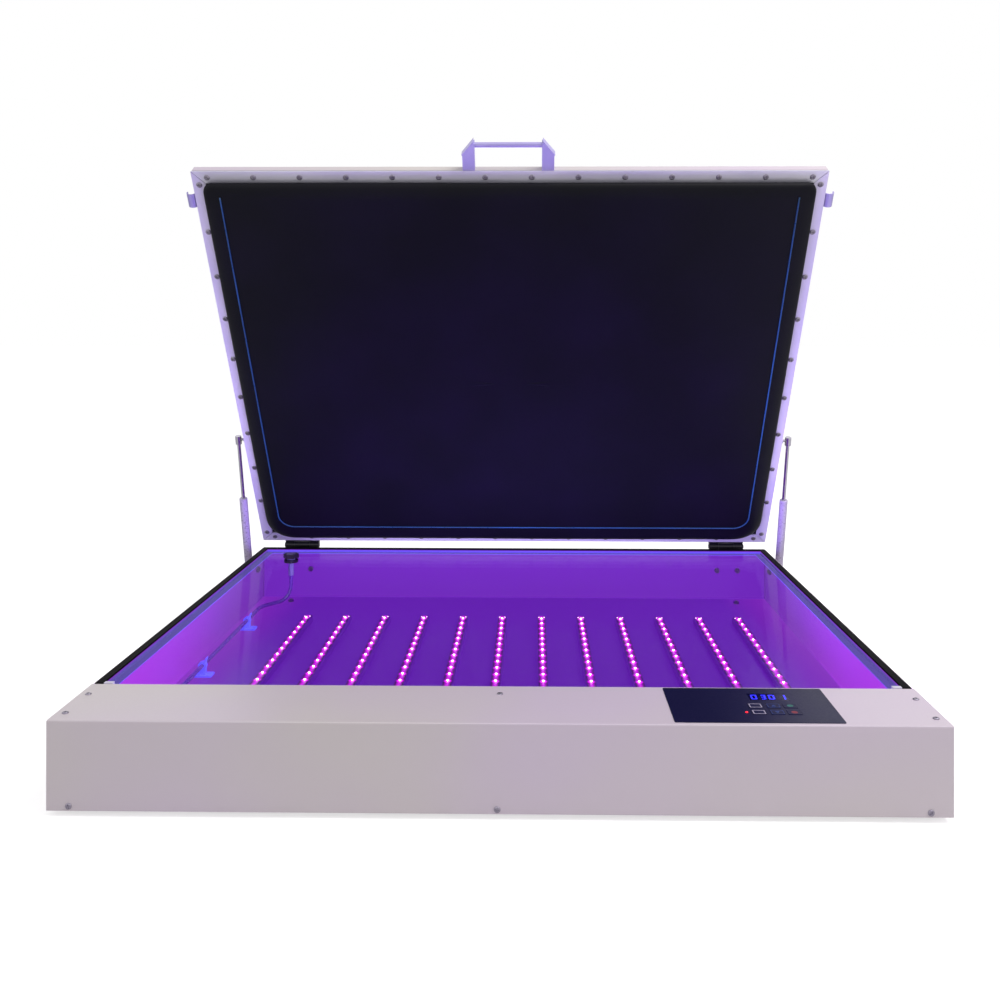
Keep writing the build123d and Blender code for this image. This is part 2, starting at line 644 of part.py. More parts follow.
# Overlay film with openings for the display, the keys and the indicator
with BuildPart() as panel_overlay:
    with BuildSketch(BASE):
        with Locations(OVERLAY[:2]):
            RectangleRounded(OVERLAY[2], OVERLAY[3], 2.5)
        with Locations(DISPLAY[:2]):
            Rectangle(DISPLAY[2], DISPLAY[3], mode=Mode.SUBTRACT)
        with Locations(*[(x, y) for x in KEY_X for y in KEY_Y]):
            Rectangle(KEY_SIZE[0] + 2 * KEY_CLEAR, KEY_SIZE[1] + 2 * KEY_CLEAR, mode=Mode.SUBTRACT)
        with Locations(INDICATOR):
            Circle(INDICATOR_HOLE_R, mode=Mode.SUBTRACT)
    extrude(amount=OVERLAY_THICK)
panel_overlay.part.label = "panel_overlay"
export_step(panel_overlay.part, "parts/panel_overlay.step")

with BuildPart() as display_window:
    with BuildSketch(BASE.offset(-SHEET)):
        with Locations(DISPLAY[:2]):
            Rectangle(DISPLAY[2] - SLIP, DISPLAY[3] - SLIP)
    extrude(amount=SHEET + OVERLAY_THICK - 0.1)
display_window.part.label = "display_window"
export_step(display_window.part, "parts/display_window.step")

with BuildPart() as indicator_lens:
    with BuildSketch(BASE.offset(-SHEET)):
        with Locations(INDICATOR):
            Circle(INDICATOR_R)
    extrude(amount=SHEET + OVERLAY_THICK + INDICATOR_RISE)
    fillet(indicator_lens.faces().sort_by(Axis.Z)[-1].edges(), radius=0.9)
indicator_lens.part.label = "indicator_lens"
export_step(indicator_lens.part, "parts/indicator_lens.step")

# Six keys, numbered from the rear row left to right
key_places = [(x, y) for y in KEY_Y for x in KEY_X]
for number, place in enumerate(key_places, start=1):
    with BuildPart() as key:
        with BuildSketch(BASE.offset(key_bottom)):
            with Locations(place):
                RectangleRounded(KEY_SIZE[0], KEY_SIZE[1], 1.2)
        extrude(amount=OVERLAY_THICK + KEY_RISE - key_bottom)
        fillet(key.faces().sort_by(Axis.Z)[-1].edges(), radius=0.4)
    key.part.label = f"key_{number}"
    export_step(key.part, f"parts/key_{number}.step")

# Wiring loom: trunk along the bulkhead, a lead and a jumper for each LED pair, a drop from the board
# and the mains lead from the inlet to the nearer driver
TRUNK_R = 4.5
LEAD_R = 2.5
MAINS_R = 3.2
MAINS_BEND = 30.0
MAINS_Z = -111.0
trunk_y = BULKHEAD_Y - 15.5
bar_near_y = BAR_FAR_Y - BAR_LENGTH
jumper_y = bar_near_y - 12.0
DROP_X = 262.0
mains_path = [
    (HALF_WIDTH - INLET_DEPTH - SLIP, INLET[0], INLET[1]),
    (520.0, INLET[0], INLET[1]),
    (430.0, INLET[0], MAINS_Z),
    (DRIVER_X[1] + DRIVER[0] / 2 + SLIP, INLET[0], MAINS_Z),
]
with BuildPart() as wiring_loom:
    with BuildSketch(side_plane(pair_x[0] - 8)):
        with Locations((trunk_y, WIRE_Z)):
            Circle(TRUNK_R)
    extrude(amount=pair_x[-1] - pair_x[0] + 16)
    with BuildSketch(face_plane(trunk_y)):
        with Locations(*[(x, WIRE_Z) for x in pair_x]):
            Circle(LEAD_R)
    extrude(amount=trunk_y - jumper_y)
    for x in pair_x:
        with BuildSketch(side_plane(x - LED_PITCH_X / 2 - LEAD_R)):
            with Locations((jumper_y, WIRE_Z)):
                Circle(LEAD_R)
        extrude(amount=LED_PITCH_X + 2 * LEAD_R)
    with BuildSketch(face_plane(jumper_y)):
        with Locations(*[(x, WIRE_Z) for x in bar_x]):
            Circle(LEAD_R)
    extrude(amount=jumper_y - bar_near_y + SLIP)
    with BuildSketch(BASE.offset(WIRE_Z)):
        with Locations((DROP_X, trunk_y)):
            Circle(LEAD_R)
    extrude(amount=BOARD_LOW - WIRE_Z)
    with BuildLine(BASE) as mains_line:
        FilletPolyline(*mains_path, radius=MAINS_BEND)
    with BuildSketch(Plane(origin=mains_line.wires()[0] @ 0, z_dir=mains_line.wires()[0] % 0)):
        Circle(MAINS_R)
    sweep(path=mains_line.wires()[0])
wiring_loom.part.label = "wiring_loom"
export_step(wiring_loom.part, "parts/wiring_loom.step")

# Power inlet with three blades in its recess
INLET_RIM = (50.0, 26.0, 2.5)
INLET_RECESS = 18.0
BLADE = (2.0, 5.0, 13.0)
blade_places = [(INLET[0] + dy, INLET[1] + dz) for dy, dz in ((-7.0, -1.0), (0.0, 3.0), (7.0, -1.0))]
with BuildPart() as power_inlet:
    with BuildSketch(side_plane(HALF_WIDTH)):
        with Locations(INLET[:2]):
            RectangleRounded(INLET_RIM[0], INLET_RIM[1], 4)
    extrude(amount=INLET_RIM[2])
    with BuildSketch(side_plane(HALF_WIDTH)):
        with Locations(INLET[:2]):
            Rectangle(INLET[2] - 0.6, INLET[3] - 0.6)
    extrude(amount=-INLET_DEPTH)
    with BuildSketch(side_plane(HALF_WIDTH + INLET_RIM[2])):
        with Locations(INLET[:2]):
            RectangleRounded(INLET[2] - 4, INLET[3] - 5, 3)
    extrude(amount=-INLET_RECESS, mode=Mode.SUBTRACT)
    with BuildSketch(side_plane(HALF_WIDTH - 16)):
        with Locations(*blade_places):
            Rectangle(*BLADE[:2])
    extrude(amount=BLADE[2])
power_inlet.part.label = "power_inlet"
export_step(power_inlet.part, "parts/power_inlet.step")

# Power switch: frame and rocker on its two pivots, which rests on its ON side
ROCKER_X = HALF_WIDTH - 6.0
ROCKER_TILT = 9.0
SWITCH_RIM = 2.0
SWITCH_DEPTH = 24.0
SWITCH_WALL = 1.5
ROCKER_HALF = 11.5
ROCKER_OUT = 8.5
ROCKER_WAIST = 7.2
PIVOT_R = 1.5
PIVOT_CLEAR = 0.06
PIVOT_HALF = SWITCH[2] / 2 - 0.4
with BuildPart() as switch_frame:
    with BuildSketch(side_plane(HALF_WIDTH)):
        with Locations(SWITCH[:2]):
            RectangleRounded(SWITCH[2] + 5, SWITCH[3] + 5, 1.5)
    extrude(amount=SWITCH_RIM)
    with BuildSketch(side_plane(HALF_WIDTH)):
        with Locations(SWITCH[:2]):
            Rectangle(SWITCH[2] - 2 * SLIP, SWITCH[3] - 2 * SLIP)
    extrude(amount=-SWITCH_DEPTH)
    with BuildSketch(side_plane(HALF_WIDTH + SWITCH_RIM)):
        with Locations(SWITCH[:2]):
            Rectangle(SWITCH[2] - 2 * SWITCH_WALL, SWITCH[3] - 1.2)
    extrude(amount=SWITCH_RIM - SWITCH_DEPTH, mode=Mode.SUBTRACT)
    with BuildSketch(face_plane(SWITCH[0] - SWITCH[2] / 2)):
        with Locations((ROCKER_X, SWITCH[1])):
            Circle(PIVOT_R + PIVOT_CLEAR)
    extrude(amount=-SWITCH[2], mode=Mode.SUBTRACT)
switch_frame.part.label = "switch_frame"
export_step(switch_frame.part, "parts/switch_frame.step")

with BuildPart() as power_rocker:
    rocker_plane = Plane(
        origin=(ROCKER_X, FRONT + SWITCH[0], TOP + SWITCH[1]),
        x_dir=(math.cos(math.radians(ROCKER_TILT)), 0, -math.sin(math.radians(ROCKER_TILT))),
        z_dir=(0, -1, 0),
    )
    with BuildSketch(rocker_plane):
        with BuildLine():
            Polyline(
                (0, -ROCKER_HALF), (ROCKER_OUT, -ROCKER_HALF - 0.4), (ROCKER_WAIST, 0),
                (ROCKER_OUT, ROCKER_HALF + 0.4), (0, ROCKER_HALF),
            )
            RadiusArc((0, ROCKER_HALF), (0, -ROCKER_HALF), -ROCKER_HALF - 1)
        make_face()
    extrude(amount=SWITCH[2] / 2 - SWITCH_WALL - 2 * SLIP, both=True)
    with BuildSketch(rocker_plane):
        Circle(PIVOT_R)
    extrude(amount=PIVOT_HALF, both=True)
power_rocker.part.label = "power_rocker"
export_step(power_rocker.part, "parts/power_rocker.step")

# ---------------------------------------------------------------------------
# Lid: folded tray, clamped rubber blanket, mitred strips and their screws
# ---------------------------------------------------------------------------
STRIP_FACE_AXIS = Axis(origin=LID.origin, direction=LID.z_dir)
flange_w = -(STRIP_THICK + BLANKET_THICK)
lid_mid = LID_LENGTH / 2
LID_FLANGE = 26.0
LID_CORNER = 3.0
LID_EDGE = 2.0
KEEPER_HOLE_R = 1.7
KEEPER_HOLE_OUT = 9.0
front_rows = [(i - (FRONT_SCREWS - 1) / 2) * FRONT_PITCH for i in range(FRONT_SCREWS)]
side_rows = [LID_LENGTH - SIDE_FIRST - i * SIDE_PITCH for i in range(SIDE_SCREWS)]
front_screws = [(x, LID_LENGTH - SCREW_INSET) for x in front_rows]
rear_screws = [(x, SCREW_INSET) for x in front_rows]
left_screws = [(SCREW_INSET - HALF_WIDTH, u) for u in side_rows]
right_screws = [(HALF_WIDTH - SCREW_INSET, u) for u in side_rows]
strip_places = front_screws + rear_screws + left_screws + right_screws
LEAF_SCREW_N = 15.0
leaf_screws = [(sx * HINGE_X + dx, -LEAF_SCREW_N) for sx in (-1, 1) for dx in (-11.0, 11.0)]
HANDLE_SCREW_N = 11.0
HANDLE_SCREW_X = 76.0
KEEPER_U = 903.0
KEEPER_WIDTH = 28.0

lid_rear = Plane(origin=LID.origin, x_dir=(1, 0, 0), z_dir=-LID.y_dir)
lid_front = Plane(origin=LID.from_local_coords((0, LID_LENGTH, 0)), x_dir=(1, 0, 0), z_dir=LID.y_dir)

with BuildPart() as lid_shell:
    with BuildSketch(LID.offset(-LID_DEPTH)):
        with Locations((0, lid_mid)):
            RectangleRounded(BASE_WIDTH, LID_LENGTH, LID_CORNER)
    extrude(amount=LID_DEPTH + flange_w)
    fillet(lid_shell.faces().sort_by(STRIP_FACE_AXIS)[0].edges(), radius=LID_EDGE)
    with BuildSketch(LID.offset(SHEET - LID_DEPTH)):
        with Locations((0, lid_mid)):
            RectangleRounded(BASE_WIDTH - 2 * SHEET, LID_LENGTH - 2 * SHEET, LID_CORNER - SHEET)
    extrude(amount=LID_DEPTH + flange_w - 2 * SHEET, mode=Mode.SUBTRACT)
    with BuildSketch(LID.offset(flange_w - SHEET)):
        with Locations((0, lid_mid)):
            Rectangle(BASE_WIDTH - 2 * LID_FLANGE, LID_LENGTH - 2 * LID_FLANGE)
    extrude(amount=2 * SHEET, mode=Mode.SUBTRACT)
    with BuildSketch(LID.offset(flange_w)):
        with Locations(*strip_places):
            Circle(SCREW_HOLE_R)
    extrude(amount=-2 * SHEET, mode=Mode.SUBTRACT)
    with BuildSketch(lid_rear):
        with Locations(*leaf_screws):
            Circle(SCREW_HOLE_R)
    extrude(amount=-2 * SHEET, mode=Mode.SUBTRACT)
    with BuildSketch(lid_front):
        with Locations((-HANDLE_SCREW_X, HANDLE_SCREW_N), (HANDLE_SCREW_X, HANDLE_SCREW_N)):
            Circle(SCREW_HOLE_R)
    extrude(amount=-2 * SHEET, mode=Mode.SUBTRACT)
    for x in (-HALF_WIDTH, INNER_HALF):
        with BuildSketch(lid_side_plane(x)):
            with Locations((STRUT_LID_U, -STRUT_LID_N)):
                Circle(NECK_R + SLIP)
            with Locations((KEEPER_U - KEEPER_HOLE_OUT, -CUP_N), (KEEPER_U + KEEPER_HOLE_OUT, -CUP_N)):
                Circle(KEEPER_HOLE_R)
        extrude(amount=SHEET, mode=Mode.SUBTRACT)
lid_shell.part.label = "lid_shell"
export_step(lid_shell.part, "parts/lid_shell.step")

# Rubber blanket: a sheet clamped under the strips that hangs out of the frame as a shallow crown.
# Each section: height out of the strips' face, growth past the strips' inner edge, lower and upper radius.
CROWN = (
    (-4.5, -1.0, 20.0, 8.0),
    (0.3, -1.0, 22.0, 9.0),
    (3.0, 2.0, 38.0, 14.0),
    (8.0, 4.5, 54.0, 20.0),
    (14.0, 3.0, 60.0, 26.0),
    (19.0, -6.0, 62.0, 30.0),
    (BLANKET_RISE, -22.0, 58.0, 34.0),
)
CROWN_WALL = 2.5
HEM_INSET = 1.0                # the sheet's cut edge, in from the lid's outline
inner_half = HALF_WIDTH - STRIP_WIDTH
inner_length = LID_LENGTH - 2 * STRIP_WIDTH


def crown_section(height, growth, low_radius, high_radius, inset=0.0):
    """One rounded section of the blanket's crown, parallel to the lid and drawn in by the inset."""
    with BuildSketch(LID.offset(height - inset)) as section:
        with Locations((0, lid_mid)):
            Rectangle(2 * (inner_half + growth - inset), inner_length + 2 * (growth - inset))
        corners = section.vertices()
        fillet(corners.group_by(Axis.Y)[0], radius=low_radius - inset)
        fillet(section.vertices().group_by(Axis.Y)[-1], radius=high_radius - inset)
    return section.sketch


with BuildPart() as blanket:
    loft([crown_section(*values) for values in CROWN], ruled=True)
    loft([crown_section(*values, inset=CROWN_WALL) for values in CROWN], ruled=True, mode=Mode.SUBTRACT)
    with BuildSketch(LID.offset(flange_w)):
        with Locations((0, lid_mid)):
            Rectangle(BASE_WIDTH - 2 * HEM_INSET, LID_LENGTH - 2 * HEM_INSET)
            Rectangle(2 * (inner_half - CROWN_WALL), inner_length - 2 * CROWN_WALL, mode=Mode.SUBTRACT)
        with Locations(*strip_places):
            Circle(SCREW_HOLE_R, mode=Mode.SUBTRACT)
    extrude(amount=BLANKET_THICK)
blanket.part.label = "blanket"
export_step(blanket.part, "parts/blanket.step")

# Sealing bead on the blanket, open towards the handle
BEAD_HALF = 546.0
BEAD_LOW = 67.0
BEAD_HIGH = 922.0
BEAD_WIDTH = 4.0
BEAD_HEIGHT = 2.0
BEAD_BEND = 34.0
with BuildPart() as blanket_bead:
    with BuildSketch(LID.offset(BLANKET_RISE)):
        with BuildLine():
            FilletPolyline(
                (-BEAD_HALF, BEAD_HIGH),
                (-BEAD_HALF, BEAD_LOW),
                (BEAD_HALF, BEAD_LOW),
                (BEAD_HALF, BEAD_HIGH),
                radius=BEAD_BEND,
            )
        trace(line_width=BEAD_WIDTH)
    extrude(amount=BEAD_HEIGHT)
blanket_bead.part.label = "blanket_bead"
export_step(blanket_bead.part, "parts/blanket_bead.step")

# Four clamping strips with mitred ends
MITRE = 0.6                    # the joint's half gap, along the strips
strip_outlines = {
    "strip_front": (
        (-HALF_WIDTH + MITRE, LID_LENGTH),
        (HALF_WIDTH - MITRE, LID_LENGTH),
        (inner_half - MITRE, LID_LENGTH - STRIP_WIDTH),
        (-inner_half + MITRE, LID_LENGTH - STRIP_WIDTH),
    ),
    "strip_rear": (
        (-HALF_WIDTH + MITRE, 0),
        (HALF_WIDTH - MITRE, 0),
        (inner_half - MITRE, STRIP_WIDTH),
        (-inner_half + MITRE, STRIP_WIDTH),
    ),
    "strip_left": (
        (-HALF_WIDTH, MITRE),
        (-HALF_WIDTH, LID_LENGTH - MITRE),
        (-inner_half, LID_LENGTH - STRIP_WIDTH - MITRE),
        (-inner_half, STRIP_WIDTH + MITRE),
    ),
    "strip_right": (
        (HALF_WIDTH, MITRE),
        (HALF_WIDTH, LID_LENGTH - MITRE),
        (inner_half, LID_LENGTH - STRIP_WIDTH - MITRE),
        (inner_half, STRIP_WIDTH + MITRE),
    ),
}
strip_holes = {
    "strip_front": front_screws,
    "strip_rear": rear_screws,
    "strip_left": left_screws,
    "strip_right": right_screws,
}
for name, outline in strip_outlines.items():
    with BuildPart() as strip:
        with BuildSketch(LID.offset(-STRIP_THICK)):
            Polygon(*outline, align=None)
            with Locations(*strip_holes[name]):
                Circle(SCREW_HOLE_R, mode=Mode.SUBTRACT)
        extrude(amount=STRIP_THICK)
    strip.part.label = name
    export_step(strip.part, f"parts/{name}.step")

# Lid screws: pan heads on the strips, the hinge leaves and the handle's feet
HEAD_R = 5.5
HEAD_HEIGHT = 2.4
SHANK_R = 2.0
SHANK_LENGTH = 9.0
HEAD_EDGE = 1.5
SMALL_HEAD_R = 4.0
LEAF_HEAD = 2.0
HANDLE_HEAD = 2.2
with BuildPart() as lid_screws:
    with BuildSketch(LID):
        with Locations(*strip_places):
            Circle(HEAD_R)
    extrude(amount=HEAD_HEIGHT)
    fillet(lid_screws.faces().group_by(STRIP_FACE_AXIS)[-1].edges(), radius=HEAD_EDGE)
    with BuildSketch(LID):
        with Locations(*strip_places):
            Circle(SHANK_R)
    extrude(amount=-SHANK_LENGTH)
    with BuildSketch(lid_rear.offset(LEAF_THICK)):
        with Locations(*leaf_screws):
            Circle(SMALL_HEAD_R)
    extrude(amount=LEAF_HEAD)
    with BuildSketch(lid_rear.offset(LEAF_THICK)):
        with Locations(*leaf_screws):
            Circle(SHANK_R)
    extrude(amount=-LEAF_THICK - 4)
    with BuildSketch(lid_front.offset(HANDLE_SHEET)):
        with Locations((-HANDLE_SCREW_X, HANDLE_SCREW_N), (HANDLE_SCREW_X, HANDLE_SCREW_N)):
            Circle(SMALL_HEAD_R)
    extrude(amount=HANDLE_HEAD)
    with BuildSketch(lid_front.offset(HANDLE_SHEET)):
        with Locations((-HANDLE_SCREW_X, HANDLE_SCREW_N), (HANDLE_SCREW_X, HANDLE_SCREW_N)):
            Circle(SHANK_R)
    extrude(amount=-HANDLE_SHEET - 5)
lid_screws.part.label = "lid_screws"
export_step(lid_screws.part, "parts/lid_screws.step")

# Handle: two folded sheet brackets, each a foot, two cheeks, a face and a slanted end, with a tube between
handle_depth = HANDLE_N[1] - HANDLE_N[0]
HANDLE_SHOULDER = 3.0
GRIP_END_GAP = 0.05
with BuildPart() as handle_brackets:
    for sx in (-1, 1):
        # folded wall: inner cheek, slanted end, outer cheek and foot as one closed outline
        outer = [
            (sx * HANDLE_IN, LID_LENGTH),
            (sx * HANDLE_IN, LID_LENGTH + HANDLE_HIGH),
            (sx * (HANDLE_IN + HANDLE_SHOULDER), LID_LENGTH + HANDLE_HIGH),
            (sx * HANDLE_OUT, LID_LENGTH + HANDLE_LOW),
            (sx * HANDLE_OUT, LID_LENGTH),
        ]
        with BuildSketch(LID.offset(-HANDLE_N[1])):
            with BuildLine():
                Polyline(*outer, close=True)
            make_face()
            offset(amount=-HANDLE_SHEET, kind=Kind.INTERSECTION, mode=Mode.SUBTRACT)
        extrude(amount=handle_depth)
        with BuildSketch(LID.offset(-HANDLE_N[0] - HANDLE_SHEET)):
            with BuildLine():
                Polyline(*outer, close=True)
            make_face()
        extrude(amount=HANDLE_SHEET)
        # the slanted end's flange stands proud of both cheeks
        slant = [
            (sx * (HANDLE_IN + HANDLE_SHOULDER), LID_LENGTH + HANDLE_HIGH),
            (sx * HANDLE_OUT, LID_LENGTH + HANDLE_LOW),
            (sx * (HANDLE_OUT + 1.6), LID_LENGTH + HANDLE_LOW + 1.2),
            (sx * (HANDLE_IN + 1.6), LID_LENGTH + HANDLE_HIGH + 4.5),
        ]
        with BuildSketch(LID.offset(-HANDLE_N[1])):
            Polygon(*slant, align=None)
        extrude(amount=handle_depth)
    with BuildSketch(lid_front):
        with Locations((-HANDLE_SCREW_X, HANDLE_SCREW_N), (HANDLE_SCREW_X, HANDLE_SCREW_N)):
            Circle(SCREW_HOLE_R)
    extrude(amount=HANDLE_SHEET, mode=Mode.SUBTRACT)
handle_brackets.part.label = "handle_brackets"
export_step(handle_brackets.part, "parts/handle_brackets.step")

with BuildPart() as handle_grip:
    with BuildSketch(lid_side_plane(GRIP_END_GAP - HANDLE_IN)):
        with Locations((LID_LENGTH + GRIP_OUT, -HANDLE_SCREW_N)):
            Circle(GRIP_R)
            Circle(GRIP_R - SHEET, mode=Mode.SUBTRACT)
    extrude(amount=2 * (HANDLE_IN - GRIP_END_GAP))
handle_grip.part.label = "handle_grip"
export_step(handle_grip.part, "parts/handle_grip.step")

# Keepers: folded hooks on the lid's sides, whose cups open away from the base
cup_x = HALF_WIDTH + KEEPER_SHEET + CUP_R
KEEPER_BACK = 9.0              # flat back over the cup's centre
KEEPER_TIP = 3.0
with BuildPart() as keeper_right:
    keeper_plane = Plane(
        origin=LID.from_local_coords((0, KEEPER_U - KEEPER_WIDTH / 2, 0)),
        x_dir=(1, 0, 0),
        z_dir=LID.y_dir,
    )
    with BuildSketch(keeper_plane):
        with Locations((cup_x, CUP_N)):
            Circle(CUP_R + KEEPER_SHEET)
            Circle(CUP_R, mode=Mode.SUBTRACT)
        with Locations((cup_x, CUP_N + 10)):
            Rectangle(4 * CUP_R, 20, mode=Mode.SUBTRACT)
        with Locations((HALF_WIDTH + KEEPER_SHEET / 2, CUP_N + KEEPER_BACK / 2)):
            Rectangle(KEEPER_SHEET, KEEPER_BACK)
        with Locations((cup_x + CUP_R + KEEPER_SHEET / 2, CUP_N + KEEPER_TIP / 2)):
            Rectangle(KEEPER_SHEET, KEEPER_TIP)
    extrude(amount=KEEPER_WIDTH)
with BuildPart() as lid_keepers:
    add(keeper_right.part)
    mirror(keeper_right.part, about=Plane.YZ)
lid_keepers.part.label = "lid_keepers"
export_step(lid_keepers.part, "parts/lid_keepers.step")

# ---------------------------------------------------------------------------
# Hinges: black block hinges, base leaf with the middle knuckle, lid leaf with the outer two
# ---------------------------------------------------------------------------
MIDDLE_KNUCKLE = 36.0
KNUCKLE_GAP = 0.4
BASE_LEAF_TOP = -6.0
BASE_LEAF_LOW = -66.0
PIN_END = 0.3
PIN_HEAD = 1.5
PIN_TIGHT = 0.02
PIN_CLEAR = 0.05
wall_y = -HINGE_BEHIND
face_y = LEAF_THICK - HINGE_BEHIND
with BuildPart() as hinge_base_leaves:
    for sx in (-1, 1):
        with BuildSketch(hinge_plane(sx * HINGE_X - HINGE_WIDTH / 2)):
            with BuildLine():
                Polyline(
                    (wall_y, BASE_LEAF_LOW - HINGE_ABOVE),
                    (face_y, BASE_LEAF_LOW - HINGE_ABOVE),
                    (face_y, BASE_LEAF_TOP - HINGE_ABOVE),
                    (wall_y, BASE_LEAF_TOP - HINGE_ABOVE),
                    close=True,
                )
            make_face()
        extrude(amount=HINGE_WIDTH)
        with BuildSketch(hinge_plane(sx * HINGE_X - MIDDLE_KNUCKLE / 2)):
            Circle(KNUCKLE_R)
            Polygon((face_y - 1, -34), (face_y - 1, -6), (0, 0), (6.4, -4.8), align=None)
            Circle(PIN_R + PIN_TIGHT, mode=Mode.SUBTRACT)
        extrude(amount=MIDDLE_KNUCKLE)
    with BuildSketch(face_plane(BASE_DEPTH + LEAF_THICK)):
        with Locations((-HINGE_X, HINGE_BOLT_Z), (HINGE_X, HINGE_BOLT_Z)):
            with GridLocations(HINGE_BOLT_PITCH, 0, 2, 1):
                Circle(BOLT_HOLE_R)
    extrude(amount=LEAF_THICK, mode=Mode.SUBTRACT)
hinge_base_leaves.part.label = "hinge_base_leaves"
export_step(hinge_base_leaves.part, "parts/hinge_base_leaves.step")

lid_leaf_low = LID_GAP + LEAF_N[0] - HINGE_ABOVE
lid_leaf_high = LID_GAP + LEAF_N[1] - HINGE_ABOVE
outer_knuckle = (HINGE_WIDTH - MIDDLE_KNUCKLE) / 2 - KNUCKLE_GAP
with BuildPart() as hinge_lid_leaves:
    for sx in (-1, 1):
        with BuildSketch(hinge_plane(sx * HINGE_X - HINGE_WIDTH / 2, OPEN_ANGLE)):
            with BuildLine():
                Polyline(
                    (wall_y, lid_leaf_low),
                    (face_y, lid_leaf_low),
                    (face_y, lid_leaf_high),
                    (wall_y, lid_leaf_high),
                    close=True,
                )
            make_face()
        extrude(amount=HINGE_WIDTH)
        for x in (-HINGE_WIDTH / 2, HINGE_WIDTH / 2 - outer_knuckle):
            with BuildSketch(hinge_plane(sx * HINGE_X + x, OPEN_ANGLE)):
                Circle(KNUCKLE_R)
                Polygon((face_y - 1, lid_leaf_high), (face_y - 1, 3), (0, 0), (6.4, 4.8), align=None)
                Circle(PIN_R + PIN_CLEAR, mode=Mode.SUBTRACT)
            extrude(amount=outer_knuckle)
    with BuildSketch(lid_rear):
        with Locations(*leaf_screws):
            Circle(SCREW_HOLE_R)
    extrude(amount=LEAF_THICK, mode=Mode.SUBTRACT)
hinge_lid_leaves.part.label = "hinge_lid_leaves"
export_step(hinge_lid_leaves.part, "parts/hinge_lid_leaves.step")

with BuildPart() as hinge_pins:
    for sx in (-1, 1):
        with BuildSketch(hinge_plane(sx * HINGE_X - HINGE_WIDTH / 2 - PIN_END)):
            Circle(PIN_R)
        extrude(amount=HINGE_WIDTH + 2 * PIN_END)
        for x, length in ((-HINGE_WIDTH / 2 - PIN_END, -PIN_HEAD), (HINGE_WIDTH / 2 + PIN_END, PIN_HEAD)):
            with BuildSketch(hinge_plane(sx * HINGE_X + x)):
                Circle(PIN_R + PIN_HEAD)
            extrude(amount=length)
hinge_pins.part.label = "hinge_pins"
export_step(hinge_pins.part, "parts/hinge_pins.step")

# ---------------------------------------------------------------------------
# Gas struts, right side drawn and mirrored: ball stud, cylinder, rod with its piston and end socket
# ---------------------------------------------------------------------------
base_ball = Vector(STRUT_X, FRONT + STRUT_BASE_Y, TOP + STRUT_BASE_Z)
lid_ball = LID.from_local_coords(Vector(STRUT_X, STRUT_LID_U, -STRUT_LID_N))
strut_length = (lid_ball - base_ball).length
STRUT = Plane(origin=base_ball, x_dir=(1, 0, 0), z_dir=(lid_ball - base_ball).normalized())
cylinder_top = strut_length - ROD_SHOWN
SOCKET_LOW = -8.0
SOCKET_HIGH = 11.0
CYLINDER_LOW = 18.0
CYLINDER_BORE = 7.6
CAP = 6.0
CAP_EDGE = 1.5
WELD_R = 5.0
PISTON_LENGTH = 12.0
BALL_CLEAR = 0.06
NECK_CLEAR = 1.2
STUD_GAP = 0.4
BASE_HEX = (7.5, 4.0, 6.0)     # radius, outer and inner height
LID_HEX = (6.5, 3.5)
LID_NUT = (5.5, 4.0)
STUD_SHANK = (4.0, 10.0)
LID_STUD_IN = 6.0


def along_strut(s):
    """Plane square to the strut at the distance s from the lower ball's centre."""
    return STRUT.offset(s)


def ball_seat(s):
    """Cuts the ball's seat and the neck's way out towards the machine at the distance s."""
    centre = STRUT.from_local_coords(Vector(0, 0, s))
    with Locations(centre):
        Sphere(BALL_R + BALL_CLEAR, mode=Mode.SUBTRACT)
    with BuildSketch(Plane(origin=centre, z_dir=(-1, 0, 0))) as neck:
        Circle(NECK_R + NECK_CLEAR)
    extrude(neck.sketch, amount=2 * SOCKET_R, mode=Mode.SUBTRACT)


with BuildPart() as strut_cylinder_right:
    with BuildSketch(along_strut(SOCKET_LOW)):
        Circle(SOCKET_R)
    extrude(amount=SOCKET_HIGH - SOCKET_LOW)
    with BuildSketch(along_strut(SOCKET_HIGH)):
        Circle(WELD_R)
    extrude(amount=CYLINDER_LOW - SOCKET_HIGH)
    with BuildSketch(along_strut(CYLINDER_LOW)):
        Circle(CYLINDER_R)
    extrude(amount=cylinder_top - CYLINDER_LOW)
    fillet(strut_cylinder_right.edges().group_by(Axis(base_ball, STRUT.z_dir))[-1], radius=CAP_EDGE)
    ball_seat(0)
    with BuildSketch(along_strut(CYLINDER_LOW + 4)):
        Circle(CYLINDER_BORE)
    extrude(amount=cylinder_top - CAP - CYLINDER_LOW - 4, mode=Mode.SUBTRACT)
    with BuildSketch(along_strut(cylinder_top)):
        Circle(ROD_R + BALL_CLEAR)
    extrude(amount=-2 * CAP, mode=Mode.SUBTRACT)

with BuildPart() as strut_rod_right:
    with BuildSketch(along_strut(cylinder_top - CAP - PISTON_LENGTH - 3)):
        Circle(CYLINDER_BORE - 0.1)
    extrude(amount=PISTON_LENGTH)
    with BuildSketch(along_strut(cylinder_top - CAP - PISTON_LENGTH)):
        Circle(ROD_R)
    extrude(amount=ROD_SHOWN + CAP + PISTON_LENGTH - SOCKET_HIGH)
    with BuildSketch(along_strut(strut_length - SOCKET_HIGH)):
        Circle(SOCKET_R)
    extrude(amount=SOCKET_HIGH - SOCKET_LOW)
    ball_seat(strut_length)
    with Locations(lid_ball):
        Sphere(BALL_R)
    with BuildSketch(Plane(origin=lid_ball, z_dir=(-1, 0, 0))):
        Circle(NECK_R)
    extrude(amount=SOCKET_R)

